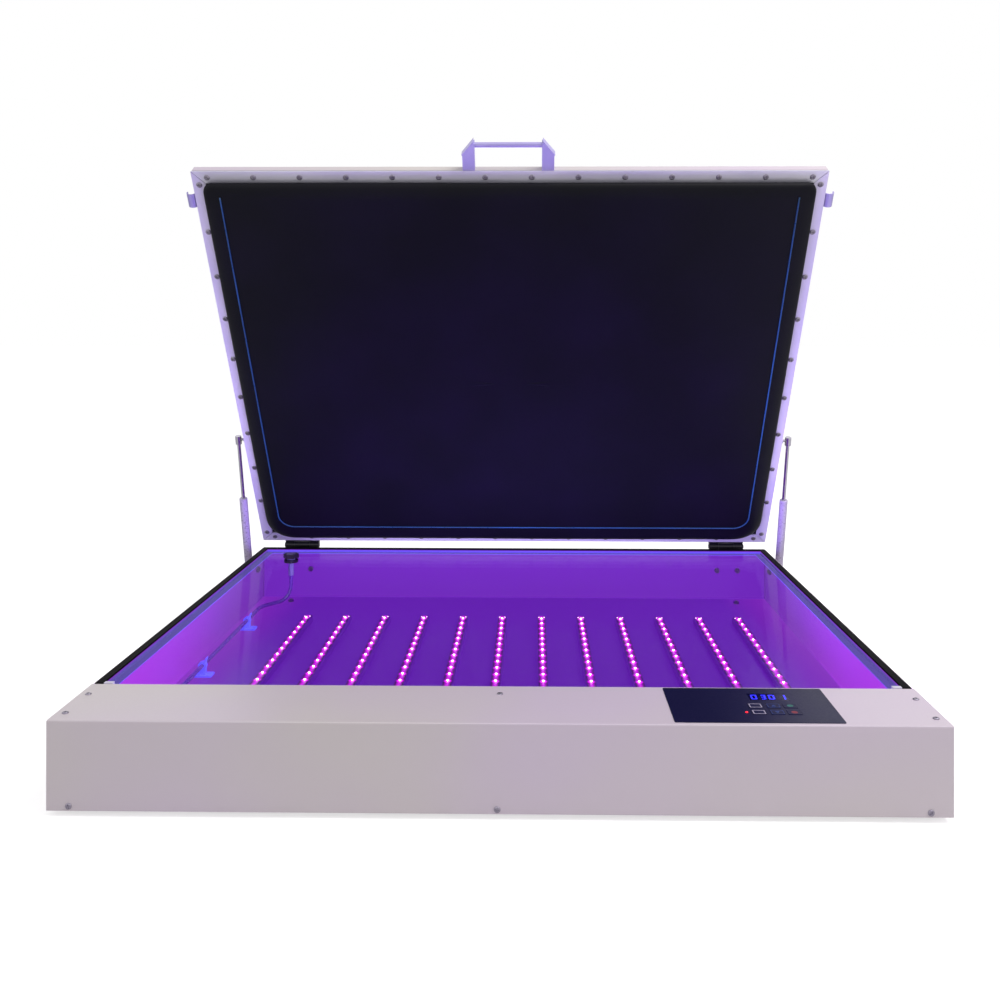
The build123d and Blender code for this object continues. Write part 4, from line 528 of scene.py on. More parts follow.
@dataclass(frozen=True)
class TrayWithPaintedLedLight(Finish):
    """Powder coat with the LEDs' violet light painted in as a glow, inside the box of the light chamber.

    low and high are the box's corners, in metres. side_glow goes from the front of a side wall to its rear, a
    painted fade of the LEDs' light.
    """

    low: tuple[float, float, float] = (0.0, 0.0, 0.0)
    high: tuple[float, float, float] = (0.0, 0.0, 0.0)
    wall_mm: float = 3.0
    # painted shade: inside the chamber the white coat's base colour is swapped for this dark violet
    shade: str = "#2A0E48"
    # painted LED light: emission colours for the floor, the floor by the sides, the rear wall and the side
    # walls
    floor_glow: str = "#5E16A4"
    floor_side_glow: str = "#8226B4"
    side_reach_mm: float = 110.0
    rear_glow: str = "#7628C0"
    side_glow: tuple[str, ...] = ("#B82CE8", "#A22ED8", "#7C2CB4", "#6624A0")
    strength: float = 0.98

    def within(self, tree: bpy.types.NodeTree, parts: bpy.types.Node) -> bpy.types.NodeSocket:
        """Tells the chamber's inside from its outside.

        Args:
            tree: the material's tree.
            parts: the node that splits the piece's coordinates.

        Returns:
            1 inside the chamber's box and 0 outside it.
        """
        held = []
        for axis, (low, high) in enumerate(zip(self.low, self.high)):
            span = {0: parts.outputs[axis], 1: (low + high) / 2, 2: (high - low) / 2}
            held.append(add_node(tree, "ShaderNodeMath", span, operation="COMPARE").outputs[0])
        flat = add_node(tree, "ShaderNodeMath", {0: held[0], 1: held[1]}, operation="MULTIPLY")
        return add_node(
            tree, "ShaderNodeMath", {0: flat.outputs[0], 1: held[2]}, operation="MULTIPLY"
        ).outputs[0]

    def light(self, tree: bpy.types.NodeTree, parts: bpy.types.Node) -> bpy.types.NodeSocket:
        """Gives the painted LED light's colour: the floor's, the rear wall's, or the side walls', which fades
        to the rear.

        Args:
            tree: the material's tree.
            parts: the node that splits the piece's coordinates.

        Returns:
            The colour.
        """
        along = add_node(
            tree,
            "ShaderNodeMapRange",
            {"Value": parts.outputs[1], "From Min": self.low[1], "From Max": self.high[1]},
        )
        sides = add_node(tree, "ShaderNodeValToRGB", {"Fac": along.outputs[0]})
        ramp = sides.color_ramp
        last = len(self.side_glow) - 1
        for number in range(1, last):
            ramp.elements.new(number / last)
        for stop, colour in zip(ramp.elements, self.side_glow):
            stop.color = linear(colour)
        wall = self.wall_mm * MM
        at_rear = add_node(
            tree, "ShaderNodeMath", {0: parts.outputs[1], 1: self.high[1] - wall}, operation="GREATER_THAN"
        )
        out = add_node(tree, "ShaderNodeMath", {0: parts.outputs[0]}, operation="ABSOLUTE")
        at_side = add_node(
            tree, "ShaderNodeMath", {0: out.outputs[0], 1: self.high[0] - wall}, operation="GREATER_THAN"
        )
        beside = add_node(
            tree,
            "ShaderNodeMapRange",
            {
                "Value": out.outputs[0],
                "From Min": self.high[0] - self.side_reach_mm * MM,
                "From Max": self.high[0],
            },
        )
        floor = add_node(
            tree,
            "ShaderNodeMix",
            {0: beside.outputs[0], 6: linear(self.floor_glow), 7: linear(self.floor_side_glow)},
            data_type="RGBA",
        )
        glow = add_node(
            tree,
            "ShaderNodeMix",
            {0: at_rear.outputs[0], 6: floor.outputs[2], 7: linear(self.rear_glow)},
            data_type="RGBA",
        )
        return add_node(
            tree,
            "ShaderNodeMix",
            {0: at_side.outputs[0], 6: glow.outputs[2], 7: sides.outputs["Color"]},
            data_type="RGBA",
        ).outputs[2]

    def material(self) -> bpy.types.Material:
        """Builds the finish: powder coat outside; inside, a painted-shade base and a violet glow of painted
        LED light.

        Returns:
            Its material.
        """
        material, tree, shader, place = self.start()
        self.pattern(tree, shader, place)
        parts = add_node(tree, "ShaderNodeSeparateXYZ", {0: place})
        inside = self.within(tree, parts)
        base = shader.inputs["Base Color"].links[0].from_socket
        mix = add_node(
            tree, "ShaderNodeMix", {0: inside, 6: base, 7: linear(self.shade)}, data_type="RGBA"
        )
        power = add_node(tree, "ShaderNodeMath", {0: inside, 1: self.strength}, operation="MULTIPLY")
        tree.links.new(mix.outputs[2], shader.inputs["Base Color"])
        tree.links.new(self.light(tree, parts), shader.inputs["Emission Color"])
        tree.links.new(power.outputs[0], shader.inputs["Emission Strength"])
        return material


@dataclass(frozen=True)
class LedgeWithPaintedGlow(Finish):
    """White coat on the glass's ledge, painted dark blue-violet and given a painted blue glow for the
    ultraviolet light that leaks along the glass.

    glass_low is the height of the glass's underside, in metres.
    """

    # painted light: glow colours, muted on faces by their direction and bright on the edges
    top_glow: str = "#5C4C9C"
    edge_glow: str = "#7256FF"
    glass_low: float = 0.0
    strength: float = 0.85

    def material(self) -> bpy.types.Material:
        """Builds the finish: a glow painted bright on its bare edges, muted on its top and on the sides'
        uprights, by which way each face points.

        Returns:
            Its material.
        """
        material, tree, shader, place = self.start()
        self.pattern(tree, shader, place)
        shape = add_node(tree, "ShaderNodeNewGeometry")
        facing = add_node(tree, "ShaderNodeSeparateXYZ", {0: shape.outputs["Normal"]})
        parts = add_node(tree, "ShaderNodeSeparateXYZ", {0: place})
        across = add_node(tree, "ShaderNodeMath", {0: facing.outputs[0]}, operation="ABSOLUTE")
        flat = add_node(tree, "ShaderNodeMath", {0: facing.outputs[2]}, operation="ABSOLUTE")
        beside = add_node(
            tree, "ShaderNodeMath", {0: parts.outputs[2], 1: self.glass_low}, operation="GREATER_THAN"
        )
        upright = add_node(
            tree, "ShaderNodeMath", {0: across.outputs[0], 1: beside.outputs[0]}, operation="MULTIPLY"
        )
        muted = add_node(
            tree, "ShaderNodeMath", {0: upright.outputs[0], 1: flat.outputs[0]}, operation="MAXIMUM"
        )
        ramp = add_node(tree, "ShaderNodeValToRGB", {"Fac": muted.outputs[0]})
        ramp.color_ramp.elements[0].color = linear(self.edge_glow)
        ramp.color_ramp.elements[1].color = linear(self.top_glow)
        tree.links.new(ramp.outputs["Color"], shader.inputs["Emission Color"])
        shader.inputs["Emission Strength"].default_value = self.strength
        return material


@dataclass(frozen=True)
class PortFinish(Finish):
    """Black moulded nylon nut round a nickel-plated bush, whose violet tint is painted LED light, both turned
    about one axis.

    axis is the port's place, in metres, and shine is how far the bush counts as metal.
    """

    axis: tuple[float, float] = (0.0, 0.0)
    bush_mm: float = 10.4
    # painted LED light: the nickel is given the LEDs' violet
    nickel: str = "#8C80C0"
    shine: float = 0.5

    def material(self) -> bpy.types.Material:
        """Builds the finish: metal inside the bush's radius and nylon outside it.

        Returns:
            Its material.
        """
        material, tree, shader, place = self.start()
        self.pattern(tree, shader, place)
        parts = add_node(tree, "ShaderNodeSeparateXYZ", {0: place})
        sides = [
            add_node(tree, "ShaderNodeMath", {0: parts.outputs[i], 1: self.axis[i]}, operation="SUBTRACT")
            for i in (0, 1)
        ]
        arm = add_node(tree, "ShaderNodeCombineXYZ", {0: sides[0].outputs[0], 1: sides[1].outputs[0]})
        radius = add_node(tree, "ShaderNodeVectorMath", {0: arm.outputs[0]}, operation="LENGTH")
        inside = add_node(
            tree, "ShaderNodeMath", {0: radius.outputs["Value"], 1: self.bush_mm * MM}, operation="LESS_THAN"
        )
        base = shader.inputs["Base Color"].links[0].from_socket
        mix = add_node(
            tree, "ShaderNodeMix", {0: inside.outputs[0], 6: base, 7: linear(self.nickel)}, data_type="RGBA"
        )
        tree.links.new(mix.outputs[2], shader.inputs["Base Color"])
        metal = add_node(
            tree, "ShaderNodeMath", {0: inside.outputs[0], 1: self.shine}, operation="MULTIPLY"
        )
        tree.links.new(metal.outputs[0], shader.inputs["Metallic"])
        return material


LID_LEAN = 123.8  # the open lid's own up direction, turned back from the rear, in degrees


class Slot(Enum):
    """The record's material slots, as named for the new pieces."""

    ZINC = "zinc_steel"
    RUBBER = "blanket_rubber"
    LEDS = "led_aluminium"
    DISPLAY = "display_dark"
    KEYS = "key_navy"


class Finishes:
    """Every finish on the machine, made once.

    board_sink is how far below its face a board begins to count as lit, and ledge_sink how far below the
    glass the ledge's uprights begin to be muted, so that both faces are wholly taken in.
    """

    board_sink: float = 0.8
    ledge_sink: float = 0.1

    def __init__(self, machine: Machine) -> None:
        """Builds the materials, group by group.

        Args:
            machine: the base's frame, which places the patterns of the chamber, the LEDs and the port.
        """
        self.machine = machine
        self.make_coats()
        self.make_metals()
        self.make_rubbers()
        self.make_plastics()
        self.make_panel()
        self.make_electronics()
        self.make_port()

    def make_coats(self) -> None:
        """Makes the powder coat, outside and with painted LED light in the chamber, and the glass's ledge
        with its painted glow.
        """
        # polyester powder coat: satin, with a fine orange peel, drawn coarser than the real 1 mm to show
        coat = {"colour": "#D7D0CD", "drift": "#D8C9DC", "roughness": 0.42}
        coat |= {"cloud_mm": 700, "grain_mm": 3.0, "relief_mm": 0.05}
        self.coat = Finish("powder_coat", **coat).material()
        # the same coat with the LEDs' light painted in: a dark violet base and a violet glow, brightest on
        # the side walls
        low, high = self.machine.chamber(margin=0.3)
        self.tray = TrayWithPaintedLedLight("powder_coat_lit", **coat, low=tuple(low), high=tuple(high)).material()
        # the coat under the glass's edge: a dark blue-violet base and a glow, painted light for the
        # ultraviolet that the pane pipes to it
        glass_low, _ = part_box("glass_sheet")
        self.ledge = LedgeWithPaintedGlow(
            "lit_ledge", "#3A2C70", "#36286A", roughness=0.5, cloud_mm=200, relief_mm=0.02,
            glass_low=glass_low.z - self.ledge_sink * MM,
        ).material()

    def make_metals(self) -> None:
        """Makes the strips' aluminium and the steels."""
        # anodised flat bar: brushed along its length before it was anodised, so the lines run that way
        # painted LED light: both bars are tinted lavender, the side bars a little more
        self.strip_across = Finish(
            "anodised_bar_across", "#DEDCE8", "#D2CFE0", roughness=0.38, spread=0.08, metallic=0.4,
            cloud_mm=160, grain_mm=1.6, relief_mm=0.006, stretch=(40, 1, 1), turn=LID_LEAN,
        ).material()
        self.strip_along = Finish(
            "anodised_bar_along", "#DCD6EC", "#CFC8E4", roughness=0.38, spread=0.08, metallic=0.4,
            cloud_mm=160, grain_mm=1.6, relief_mm=0.006, stretch=(1, 40, 1), turn=LID_LEAN,
        ).material()
        # zinc-plated steel: soft grey metal with a slightly blotched passivation
        self.zinc = Finish(
            "zinc_plate", "#A9A3B0", "#8F8A9A", roughness=0.34, spread=0.1, metallic=1.0, cloud_mm=14,
            grain_mm=2, relief_mm=0.01,
        ).material()
        # brushed and lacquered steel sheet: half dull, its lilac colour being the LEDs' light painted in
        self.bent_sheet = Finish(
            "brushed_sheet", "#B9B0E2", "#AEA4DC", roughness=0.4, spread=0.08, metallic=0.5, cloud_mm=60,
            grain_mm=1.5, relief_mm=0.01,
        ).material()
        # hard chrome on the ground rod: close to a mirror
        self.chrome = Finish(
            "hard_chrome", "#C9C6D2", "#C2BECC", roughness=0.12, spread=0.04, metallic=1.0, cloud_mm=30,
            grain_mm=2, relief_mm=0.002,
        ).material()
        # silver lacquer on the strut's tube: a metallic flake under a clear gloss
        self.silver = Finish(
            "silver_lacquer", "#B9AFCB", "#AFA5C2", roughness=0.3, spread=0.05, metallic=0.35, cloud_mm=50,
            relief_mm=0.01, coat=0.4,
        ).material()
        # black stove enamel on the cast hinges: half-gloss, with the casting's slight waves
        self.enamel = Finish(
            "black_enamel", "#15151B", "#1B1A22", roughness=0.36, spread=0.08, cloud_mm=40, grain_mm=2,
            relief_mm=0.04,
        ).material()
        # deep-drawn aluminium of the driver cases: fine drawing lines across
        self.case = Finish(
            "stamped_aluminium", "#B4B4B8", "#A8A8AE", roughness=0.42, spread=0.1, metallic=0.9,
            grain_mm=1.5, stretch=(20, 1, 1),
        ).material()
        # hammer paint on the pump's casting: coarse dimples
        self.casting = Finish(
            "hammer_paint", "#55565C", "#4A4B52", roughness=0.38, grain_mm=6, relief_mm=0.2,
        ).material()

    def make_rubbers(self) -> None:
        """Makes the blanket, its bead and the seals."""
        # calendered neoprene: nearly black and matt, with a fine grain
        self.rubber = Finish(
            "neoprene_sheet", "#08090F", "#0B0A15", roughness=0.5, spread=0.07, cloud_mm=210, grain_mm=2.5,
            relief_mm=0.04, ior=1.25,
        ).material()
        # silicone bead laid from a gun: smooth and blue
        self.bead = Finish(
            "glued_bead", "#163A60", "#1E4A7C", roughness=0.32, spread=0.06, cloud_mm=150, relief_mm=0.02,
        ).material()
        # extruded sponge rubber: dull black
        self.seal = Finish(
            "epdm_seal", "#09080C", "#0E0C12", roughness=0.6, cloud_mm=60, relief_mm=0.05, ior=1.1,
        ).material()

    def make_plastics(self) -> None:
        """Makes the glass and the moulded and drawn plastics."""
        # float glass: clear; its index is below the real 1.52, as the photograph's pane hardly mirrors
        self.glass = FloatGlass("float_glass", "#FFFFFF", "#FFFFFF", roughness=0.0, ior=1.025).material()
        # moulded nylon: a fine sparked texture, black or white
        self.nylon = Finish(
            "black_nylon", "#141318", "#1B1A20", roughness=0.4, grain_mm=1.5, relief_mm=0.03,
        ).material()
        self.white = Finish(
            "white_nylon", "#D8D4E6", "#CFCAE0", roughness=0.45, cloud_mm=30, relief_mm=0.02,
        ).material()
        # undyed nylon: its blue fluorescence under the LEDs is a painted glow
        self.clip = Glow(
            "natural_nylon_in_uv", "#6A5CFF", "#6458F0", roughness=0.45, cloud_mm=20, relief_mm=0.02,
            strength=0.55,
        ).material()
        # soft clear tube: the chamber's violet light on it is a painted glow
        self.hose = Glow(
            "clear_pvc_hose", "#50248C", "#582A98", roughness=0.25, cloud_mm=40, relief_mm=0.01, coat=0.3,
            strength=0.5,
        ).material()

    def make_panel(self) -> None:
        """Makes the control panel's film, window, keys, lights and inks."""
        # polyester film printed on its back: satin, with a fine texture
        self.film = Finish(
            "printed_film", "#17163A", "#1C1A40", roughness=0.36, spread=0.04, cloud_mm=160, grain_mm=2.5,
            relief_mm=0.004, ior=1.2,
        ).material()
        # smoked acrylic: smooth and nearly black
        self.window = Finish(
            "smoked_acrylic", "#0A0A34", "#0C0B3C", roughness=0.2, spread=0.03, cloud_mm=30,
            relief_mm=0.003, ior=1.2,
        ).material()
        # domes pressed into the same film: a little duller where fingers rub them
        self.key = Finish(
            "embossed_key", "#18173C", "#1D1B44", roughness=0.4, cloud_mm=20, relief_mm=0.01, ior=1.2,
        ).material()
        # lit segments and a red lens: moulded diffusers, even from edge to edge
        self.digits = Glow(
            "lit_segment", "#2C2CFF", "#2020FF", roughness=0.3, cloud_mm=8, relief_mm=0.0, strength=1.4,
        ).material()
        self.lamp = Glow(
            "red_lens", "#FF2030", "#F01828", roughness=0.2, cloud_mm=3, relief_mm=0.0, strength=1.5,
        ).material()
        # screen-printed inks: matt, with slight unevenness
        ink = {"roughness": 0.5, "cloud_mm": 6, "relief_mm": 0.01}
        self.ink_grey = Finish("grey_ink", "#B0A8C0", "#A49CB6", **ink).material()
        self.ink_blue = Finish("blue_ink", "#1C3C8C", "#1A3478", **ink).material()
        self.ink_green = Finish("green_ink", "#1A6A64", "#186058", **ink).material()
        self.ink_red = Finish("red_ink", "#8C1C34", "#7C182E", **ink).material()

    def make_electronics(self) -> None:
        """Makes the circuit boards, the LEDs and their solder."""
        # green solder mask on glass laminate: the weave shows faintly
        self.laminate = Finish(
            "solder_mask", "#0E4A2A", "#0B4024", roughness=0.35, grain_mm=1.5, relief_mm=0.02,
        ).material()
        # a die under a clear dome, so bright that its violet reads as pink-white
        self.lens = Glow(
            "lit_led", "#FFE6FF", "#FFD8FF", roughness=0.2, cloud_mm=4, relief_mm=0.0, strength=4.5,
        ).material()
        # solder with a painted reflection of the LED beside it: a bright pink glow
        self.solder = Glow(
            "lit_solder", "#FFC8FF", "#F8B8FF", roughness=0.3, cloud_mm=3, relief_mm=0.0, strength=2.5,
        ).material()
        # white mask with the diodes' light painted in: a dark violet base and a magenta glow, brightest round
        # each of them
        first = self.machine.at(LedBars.first_x, LedBars.far_y, LedBars.board_top - self.board_sink)
        self.board = LedBoard(
            "led_board", "#3A1060", "#42146C", roughness=0.4, grain_mm=2, relief_mm=0.01,
            first=(first.x, first.y), top=first.z,
        ).material()

    def make_port(self) -> None:
        """Makes the vacuum port's two-part finish, centred on the port."""
        low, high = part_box("vacuum_port")
        middle = (low + high) / 2
        # moulded nylon round a plated bush
        self.port = PortFinish(
            "port_nylon", "#16131C", "#1C1824", roughness=0.35, grain_mm=2, relief_mm=0.02,
            axis=(middle.x, middle.y),
        ).material()

    def dress(self) -> None:
        """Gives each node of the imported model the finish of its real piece."""
        worn = {
            "base_tray": self.tray, "front_cover": self.coat, "front_bulkhead": self.tray,
            "glass_frame": self.ledge, "glass_sheet": self.glass, "gasket": self.seal,
            "corner_blocks": self.white, "feet": self.seal, "led_drivers": self.case,
            "vacuum_pump": self.casting, "vacuum_hose": self.hose, "hose_clips": self.clip,
            "vacuum_port": self.port, "control_board": self.laminate, "panel_overlay": self.film,
            "display_window": self.window, "indicator_lens": self.lamp, "wiring_loom": self.nylon,
            "power_inlet": self.nylon, "switch_frame": self.nylon, "power_rocker": self.nylon,
            "base_bolts": self.zinc, "hinge_base_leaves": self.enamel, "hinge_lid_leaves": self.enamel,
            "hinge_pins": self.zinc, "strut_base_studs": self.zinc, "strut_lid_studs": self.zinc,
            "latch_plates": self.zinc, "lid_shell": self.coat, "lid_keepers": self.bent_sheet,
            "strip_front": self.strip_across, "strip_rear": self.strip_across,
            "strip_left": self.strip_along, "strip_right": self.strip_along,
            "handle_brackets": self.bent_sheet, "handle_grip": self.bent_sheet,
        }
        for side in ("left", "right"):
            worn[f"strut_cylinder_{side}"] = self.silver
            worn[f"strut_rod_{side}"] = self.chrome
            worn[f"latch_lever_{side}"] = self.zinc
            worn[f"latch_bail_{side}"] = self.zinc
        for number in range(1, 7):
            worn[f"key_{number}"] = self.key
            worn[f"led_pair_{number}"] = self.board
        for name, finish in worn.items():
            node = frame["nodes"][name]
            node.data.materials.clear()
            node.data.materials.append(finish)
            log.info("%s wears %s", name, finish.name)


# ---------------------------------------------------------------------------
# Geometry trees
# ---------------------------------------------------------------------------
def new_tree(name: str, inputs: dict[str, str]) -> tuple[bpy.types.NodeTree, bpy.types.Node]:
    """Starts a geometry tree with its named inputs.

    Args:
        name: the tree's name.
        inputs: each input's name and socket type, after the geometry.

    Returns:
        The tree and its input node.
    """
    tree = bpy.data.node_groups.new(name, "GeometryNodeTree")
    tree.interface.new_socket("Geometry", in_out="INPUT", socket_type="NodeSocketGeometry")
    for label, kind in inputs.items():
        tree.interface.new_socket(label, in_out="INPUT", socket_type=f"NodeSocket{kind}")
    tree.interface.new_socket("Geometry", in_out="OUTPUT", socket_type="NodeSocketGeometry")
    return tree, add_node(tree, "NodeGroupInput")


def close_tree(tree: bpy.types.NodeTree, made: bpy.types.NodeSocket, finish: bpy.types.NodeSocket) -> None:
    """Ends a geometry tree: its copies become real faces and get their material.

    Args:
        tree: the geometry tree.
        made: the geometry that it has made.
        finish: the material.
    """
    real = add_node(tree, "GeometryNodeRealizeInstances", {0: made})
    dressed = add_node(tree, "GeometryNodeSetMaterial", {"Geometry": real.outputs[0], "Material": finish})
    add_node(tree, "NodeGroupOutput", {0: dressed.outputs[0]})


def fastener_tree() -> bpy.types.NodeTree:
    """Builds the tree that sets one fastener on each point, facing out and turned at random.

    Returns:
        The tree, with the inputs Shape, Finish and Turn Seed.
    """
    inputs = {"Shape": "Object", "Finish": "Material", "Turn Seed": "Int"}
    tree, given = new_tree("fasteners_on_points", inputs)
    facing = add_node(tree, "GeometryNodeInputNamedAttribute", {"Name": "facing"}, data_type="FLOAT_VECTOR")
    size = add_node(tree, "GeometryNodeInputNamedAttribute", {"Name": "size"}, data_type="FLOAT")
    outward = add_node(tree, "FunctionNodeAlignRotationToVector", {"Vector": facing.outputs[0]}, axis="Z")
    turns = {2: 0.0, 3: math.tau, "Seed": given.outputs["Turn Seed"]}
    spin = add_node(tree, "FunctionNodeRandomValue", turns)
    turn = add_node(tree, "FunctionNodeAxisAngleToRotation", {"Axis": (0, 0, 1), "Angle": spin.outputs[1]})
    turned = add_node(
        tree,
        "FunctionNodeRotateRotation",
        {"Rotation": outward.outputs[0], "Rotate By": turn.outputs[0]},
        rotation_space="LOCAL",
    )
    shape = add_node(tree, "GeometryNodeObjectInfo", {"Object": given.outputs["Shape"]})
    copies = add_node(
        tree,
        "GeometryNodeInstanceOnPoints",
        {
            "Points": given.outputs["Geometry"],
            "Instance": shape.outputs["Geometry"],
            "Rotation": turned.outputs[0],
            "Scale": size.outputs[0],
        },
    )
    close_tree(tree, copies.outputs[0], given.outputs["Finish"])
    return tree


def lens_tree() -> bpy.types.NodeTree:
    """Builds the tree that lays out rows of domed lenses.

    Returns:
        The tree, with the inputs Start, Bars, Per Bar, Bar Step, Lens Step, Radius, Height and Finish.
    """
    tree, given = new_tree(
        "rows_of_lenses",
        {
            "Start": "Vector", "Bars": "Int", "Per Bar": "Int", "Bar Step": "Vector", "Lens Step": "Vector",
            "Radius": "Float", "Height": "Float", "Finish": "Material",
        },
    )
    dome = add_node(
        tree, "GeometryNodeMeshUVSphere", {"Segments": 10, "Rings": 6, "Radius": given.outputs["Radius"]}
    )
    squash = add_node(tree, "ShaderNodeCombineXYZ", {0: 1.0, 1: 1.0, 2: given.outputs["Height"]})
    lens = add_node(
        tree, "GeometryNodeTransform", {"Geometry": dome.outputs[0], "Scale": squash.outputs[0]}
    )
    row = add_node(
        tree,
        "GeometryNodeMeshLine",
        {"Count": given.outputs["Per Bar"], "Offset": given.outputs["Lens Step"]},
    )
    rows = add_node(
        tree,
        "GeometryNodeMeshLine",
        {
            "Count": given.outputs["Bars"],
            "Start Location": given.outputs["Start"],
            "Offset": given.outputs["Bar Step"],
        },
    )
    one = add_node(
        tree, "GeometryNodeInstanceOnPoints", {"Points": row.outputs[0], "Instance": lens.outputs[0]}
    )
    every = add_node(
        tree, "GeometryNodeInstanceOnPoints", {"Points": rows.outputs[0], "Instance": one.outputs[0]}
    )
    smooth = add_node(tree, "GeometryNodeSetShadeSmooth", {"Geometry": every.outputs[0]})
    close_tree(tree, smooth.outputs[0], given.outputs["Finish"])
    return tree


# ---------------------------------------------------------------------------
# Screws
# ---------------------------------------------------------------------------
@dataclass
class PanHead:
    """A cross-recessed pan-head screw, head up, with its seat at the origin."""

    radius: float = 5.5
    height: float = 2.4
    shank_radius: float = 2.0
    shank: float = 7.0
    segments: int = 20
    recess_arm: float = 3.4
    recess_width: float = 1.25
    recess_depth: float = 1.5

    def head(self, finish: bpy.types.Material) -> bpy.types.Object:
        """Turns the head's and shank's outline about the screw's axis.

        Args:
            finish: the screw's material.

        Returns:
            The head with its shank.
        """
        r, h = self.radius, self.height
        # the outline from the shank's end to the crown; the dome's points are shares of radius and height
        outline = [
            (0.0, -self.shank), (self.shank_radius, -self.shank), (self.shank_radius, 0.0), (r * 0.97, 0.0),
            (r, h * 0.15), (r, h * 0.42), (r * 0.93, h * 0.68), (r * 0.78, h * 0.87), (r * 0.55, h * 0.97),
            (0.0, h),
        ]
        points = [Vector((0, 0, outline[0][1] * MM))]
        for radius, z in outline[1:-1]:
            for i in range(self.segments):
                a = math.tau * i / self.segments
                points.append(Vector((radius * math.cos(a), radius * math.sin(a), z)) * MM)
        points.append(Vector((0, 0, h * MM)))
        rings, n, last = len(outline) - 2, self.segments, len(points) - 1
        faces = [[0, 1 + (i + 1) % n, 1 + i] for i in range(n)]
        for k in range(rings - 1):
            a, b = 1 + k * n, 1 + (k + 1) * n
            faces += [[a + i, a + (i + 1) % n, b + (i + 1) % n, b + i] for i in range(n)]
        top = 1 + (rings - 1) * n
        faces += [[top + i, top + (i + 1) % n, last] for i in range(n)]
        return solid("pan_head", points, faces, finish, smooth=True)

    def recess(self, finish: bpy.types.Material) -> bpy.types.Object:
        """Makes the cross that is sunk into the head.

        Args:
            finish: the screw's material.

        Returns:
            The cutter.
        """
        a, w = self.recess_arm, self.recess_width / 2
        cross = [
            (a, -w), (a, w), (w, w), (w, a), (-w, a), (-w, w),
            (-a, w), (-a, -w), (-w, -w), (-w, -a), (w, -a), (w, -w),
        ]
        top, low = self.height + 1.0, self.height - self.recess_depth
        return plates("recess", [cross], lambda x, y, z: Vector((x, y, z)) * MM, low, top, finish)

    def build(self, finish: bpy.types.Material) -> bpy.types.Object:
        """Cuts the cross out of the head.

        Args:
            finish: the screw's material.

        Returns:
            The screw as a plain mesh.
        """
        screw, cutter = self.head(finish), self.recess(finish)
        cut = screw.modifiers.new("recess", "BOOLEAN")
        cut.operation = "DIFFERENCE"
        cut.solver = "EXACT"
        cut.object = cutter
        plain_mesh(screw)
        bpy.data.objects.remove(cutter)
        return screw


@dataclass
class Screws:
    """All the screws that show, each set on its piece by one geometry tree.

    small and cover_small are shares of the strips' screws. leaf and handle are the middles of a hinge's leaf
    and of a handle's bracket, counted across, and w is counted out of the strips' face.
    """

    machine: Machine
    lid: OpenLid
    finishes: Finishes
    front_pitch: float = 87.8
    front_count: int = 14
    side_pitch: float = 101.2
    side_count: int = 10
    side_first: float = 28.0
    inset: float = 12.3
    lid_half: float = 600.0
    lid_length: float = 966.0
    leaf: float = 508.0
    leaf_thick: float = 5.5
    leaf_w: float = -15.0
    leaf_screw: float = 11.0
    handle: float = 76.0
    handle_thick: float = 2.0
    handle_w: float = -11.0
    small: float = 0.73
    cover_small: float = 0.8
    plate_half: float = 586.7
    plate_rows: tuple[float, float] = (27.0, 100.0)
    plate_rear: float = 111.0
    face_half: float = 570.0
    face_height: float = -113.7

    def lid_places(self) -> list[tuple[Vector, Vector, float]]:
        """Gives the place, direction and size of each screw in the lid.

        Returns:
            The strips' screws first, then the hinges' and the handle's.
        """
        across = [(i - (self.front_count - 1) / 2) * self.front_pitch for i in range(self.front_count)]
        up = [self.lid_length - self.side_first - i * self.side_pitch for i in range(self.side_count)]
        flat = [(x, u) for u in (self.inset, self.lid_length - self.inset) for x in across]
        flat += [(side * (self.lid_half - self.inset), u) for side in (-1, 1) for u in up]
        places = [(self.lid.at(x, u, 0), self.lid.out, 1.0) for x, u in flat]
        for middle in (-self.leaf, self.leaf):
            for x in (middle - self.leaf_screw, middle + self.leaf_screw):
                place = self.lid.at(x, -self.leaf_thick, self.leaf_w)
                places.append((place, -self.lid.up, self.small))
        for x in (-self.handle, self.handle):
            place = self.lid.at(x, self.lid_length + self.handle_thick, self.handle_w)
            places.append((place, self.lid.up, self.small))
        return places

    def base_places(self) -> list[tuple[Vector, Vector, float]]:
        """Gives the place, direction and size of each screw in the front cover.

        Returns:
            The plate's screws first, then the front face's.
        """
        up, forward = Vector((0, 0, 1)), Vector((0, -1, 0))
        plate = [(side * self.plate_half, y) for side in (-1, 1) for y in self.plate_rows]
        plate.append((0.0, self.plate_rear))
        face = (-self.face_half, 0.0, self.face_half)
        places = [(self.machine.at(x, y, 0), up, self.cover_small) for x, y in plate]
        return places + [
            (self.machine.at(x, 0, self.face_height), forward, self.cover_small) for x in face
        ]

    def points(self, name: str, places: Sequence[tuple[Vector, Vector, float]]) -> bpy.types.Object:
        """Makes the points that the fasteners stand on, with their direction and size.

        Args:
            name: the piece's name.
            places: each screw's place, direction and size.

        Returns:
            The piece, as yet without its screws.
        """
        piece = solid(name, [p for p, _, _ in places], [], self.finishes.zinc)
        facing = piece.data.attributes.new("facing", "FLOAT_VECTOR", "POINT")
        facing.data.foreach_set("vector", [v for _, direction, _ in places for v in direction])
        size = piece.data.attributes.new("size", "FLOAT", "POINT")
        size.data.foreach_set("value", [scale for _, _, scale in places])
        return piece

    def build(self) -> None:
        """Sets the screws of the lid and of the front cover."""
        tree = fastener_tree()
        shape = PanHead().build(self.finishes.zinc)
        for name, places, body, node, seed in (
            ("lid_pan_screws", self.lid_places(), "lid", "lid_screws", 4),
            ("cover_pan_screws", self.base_places(), "base", "cover_screws", 9),
        ):
            piece = self.points(name, places)
            grow(piece, tree, shape=shape, finish=self.finishes.zinc, turn_seed=seed)
            keep(piece, body, Slot.ZINC.value, node)
        bpy.data.objects.remove(shape)


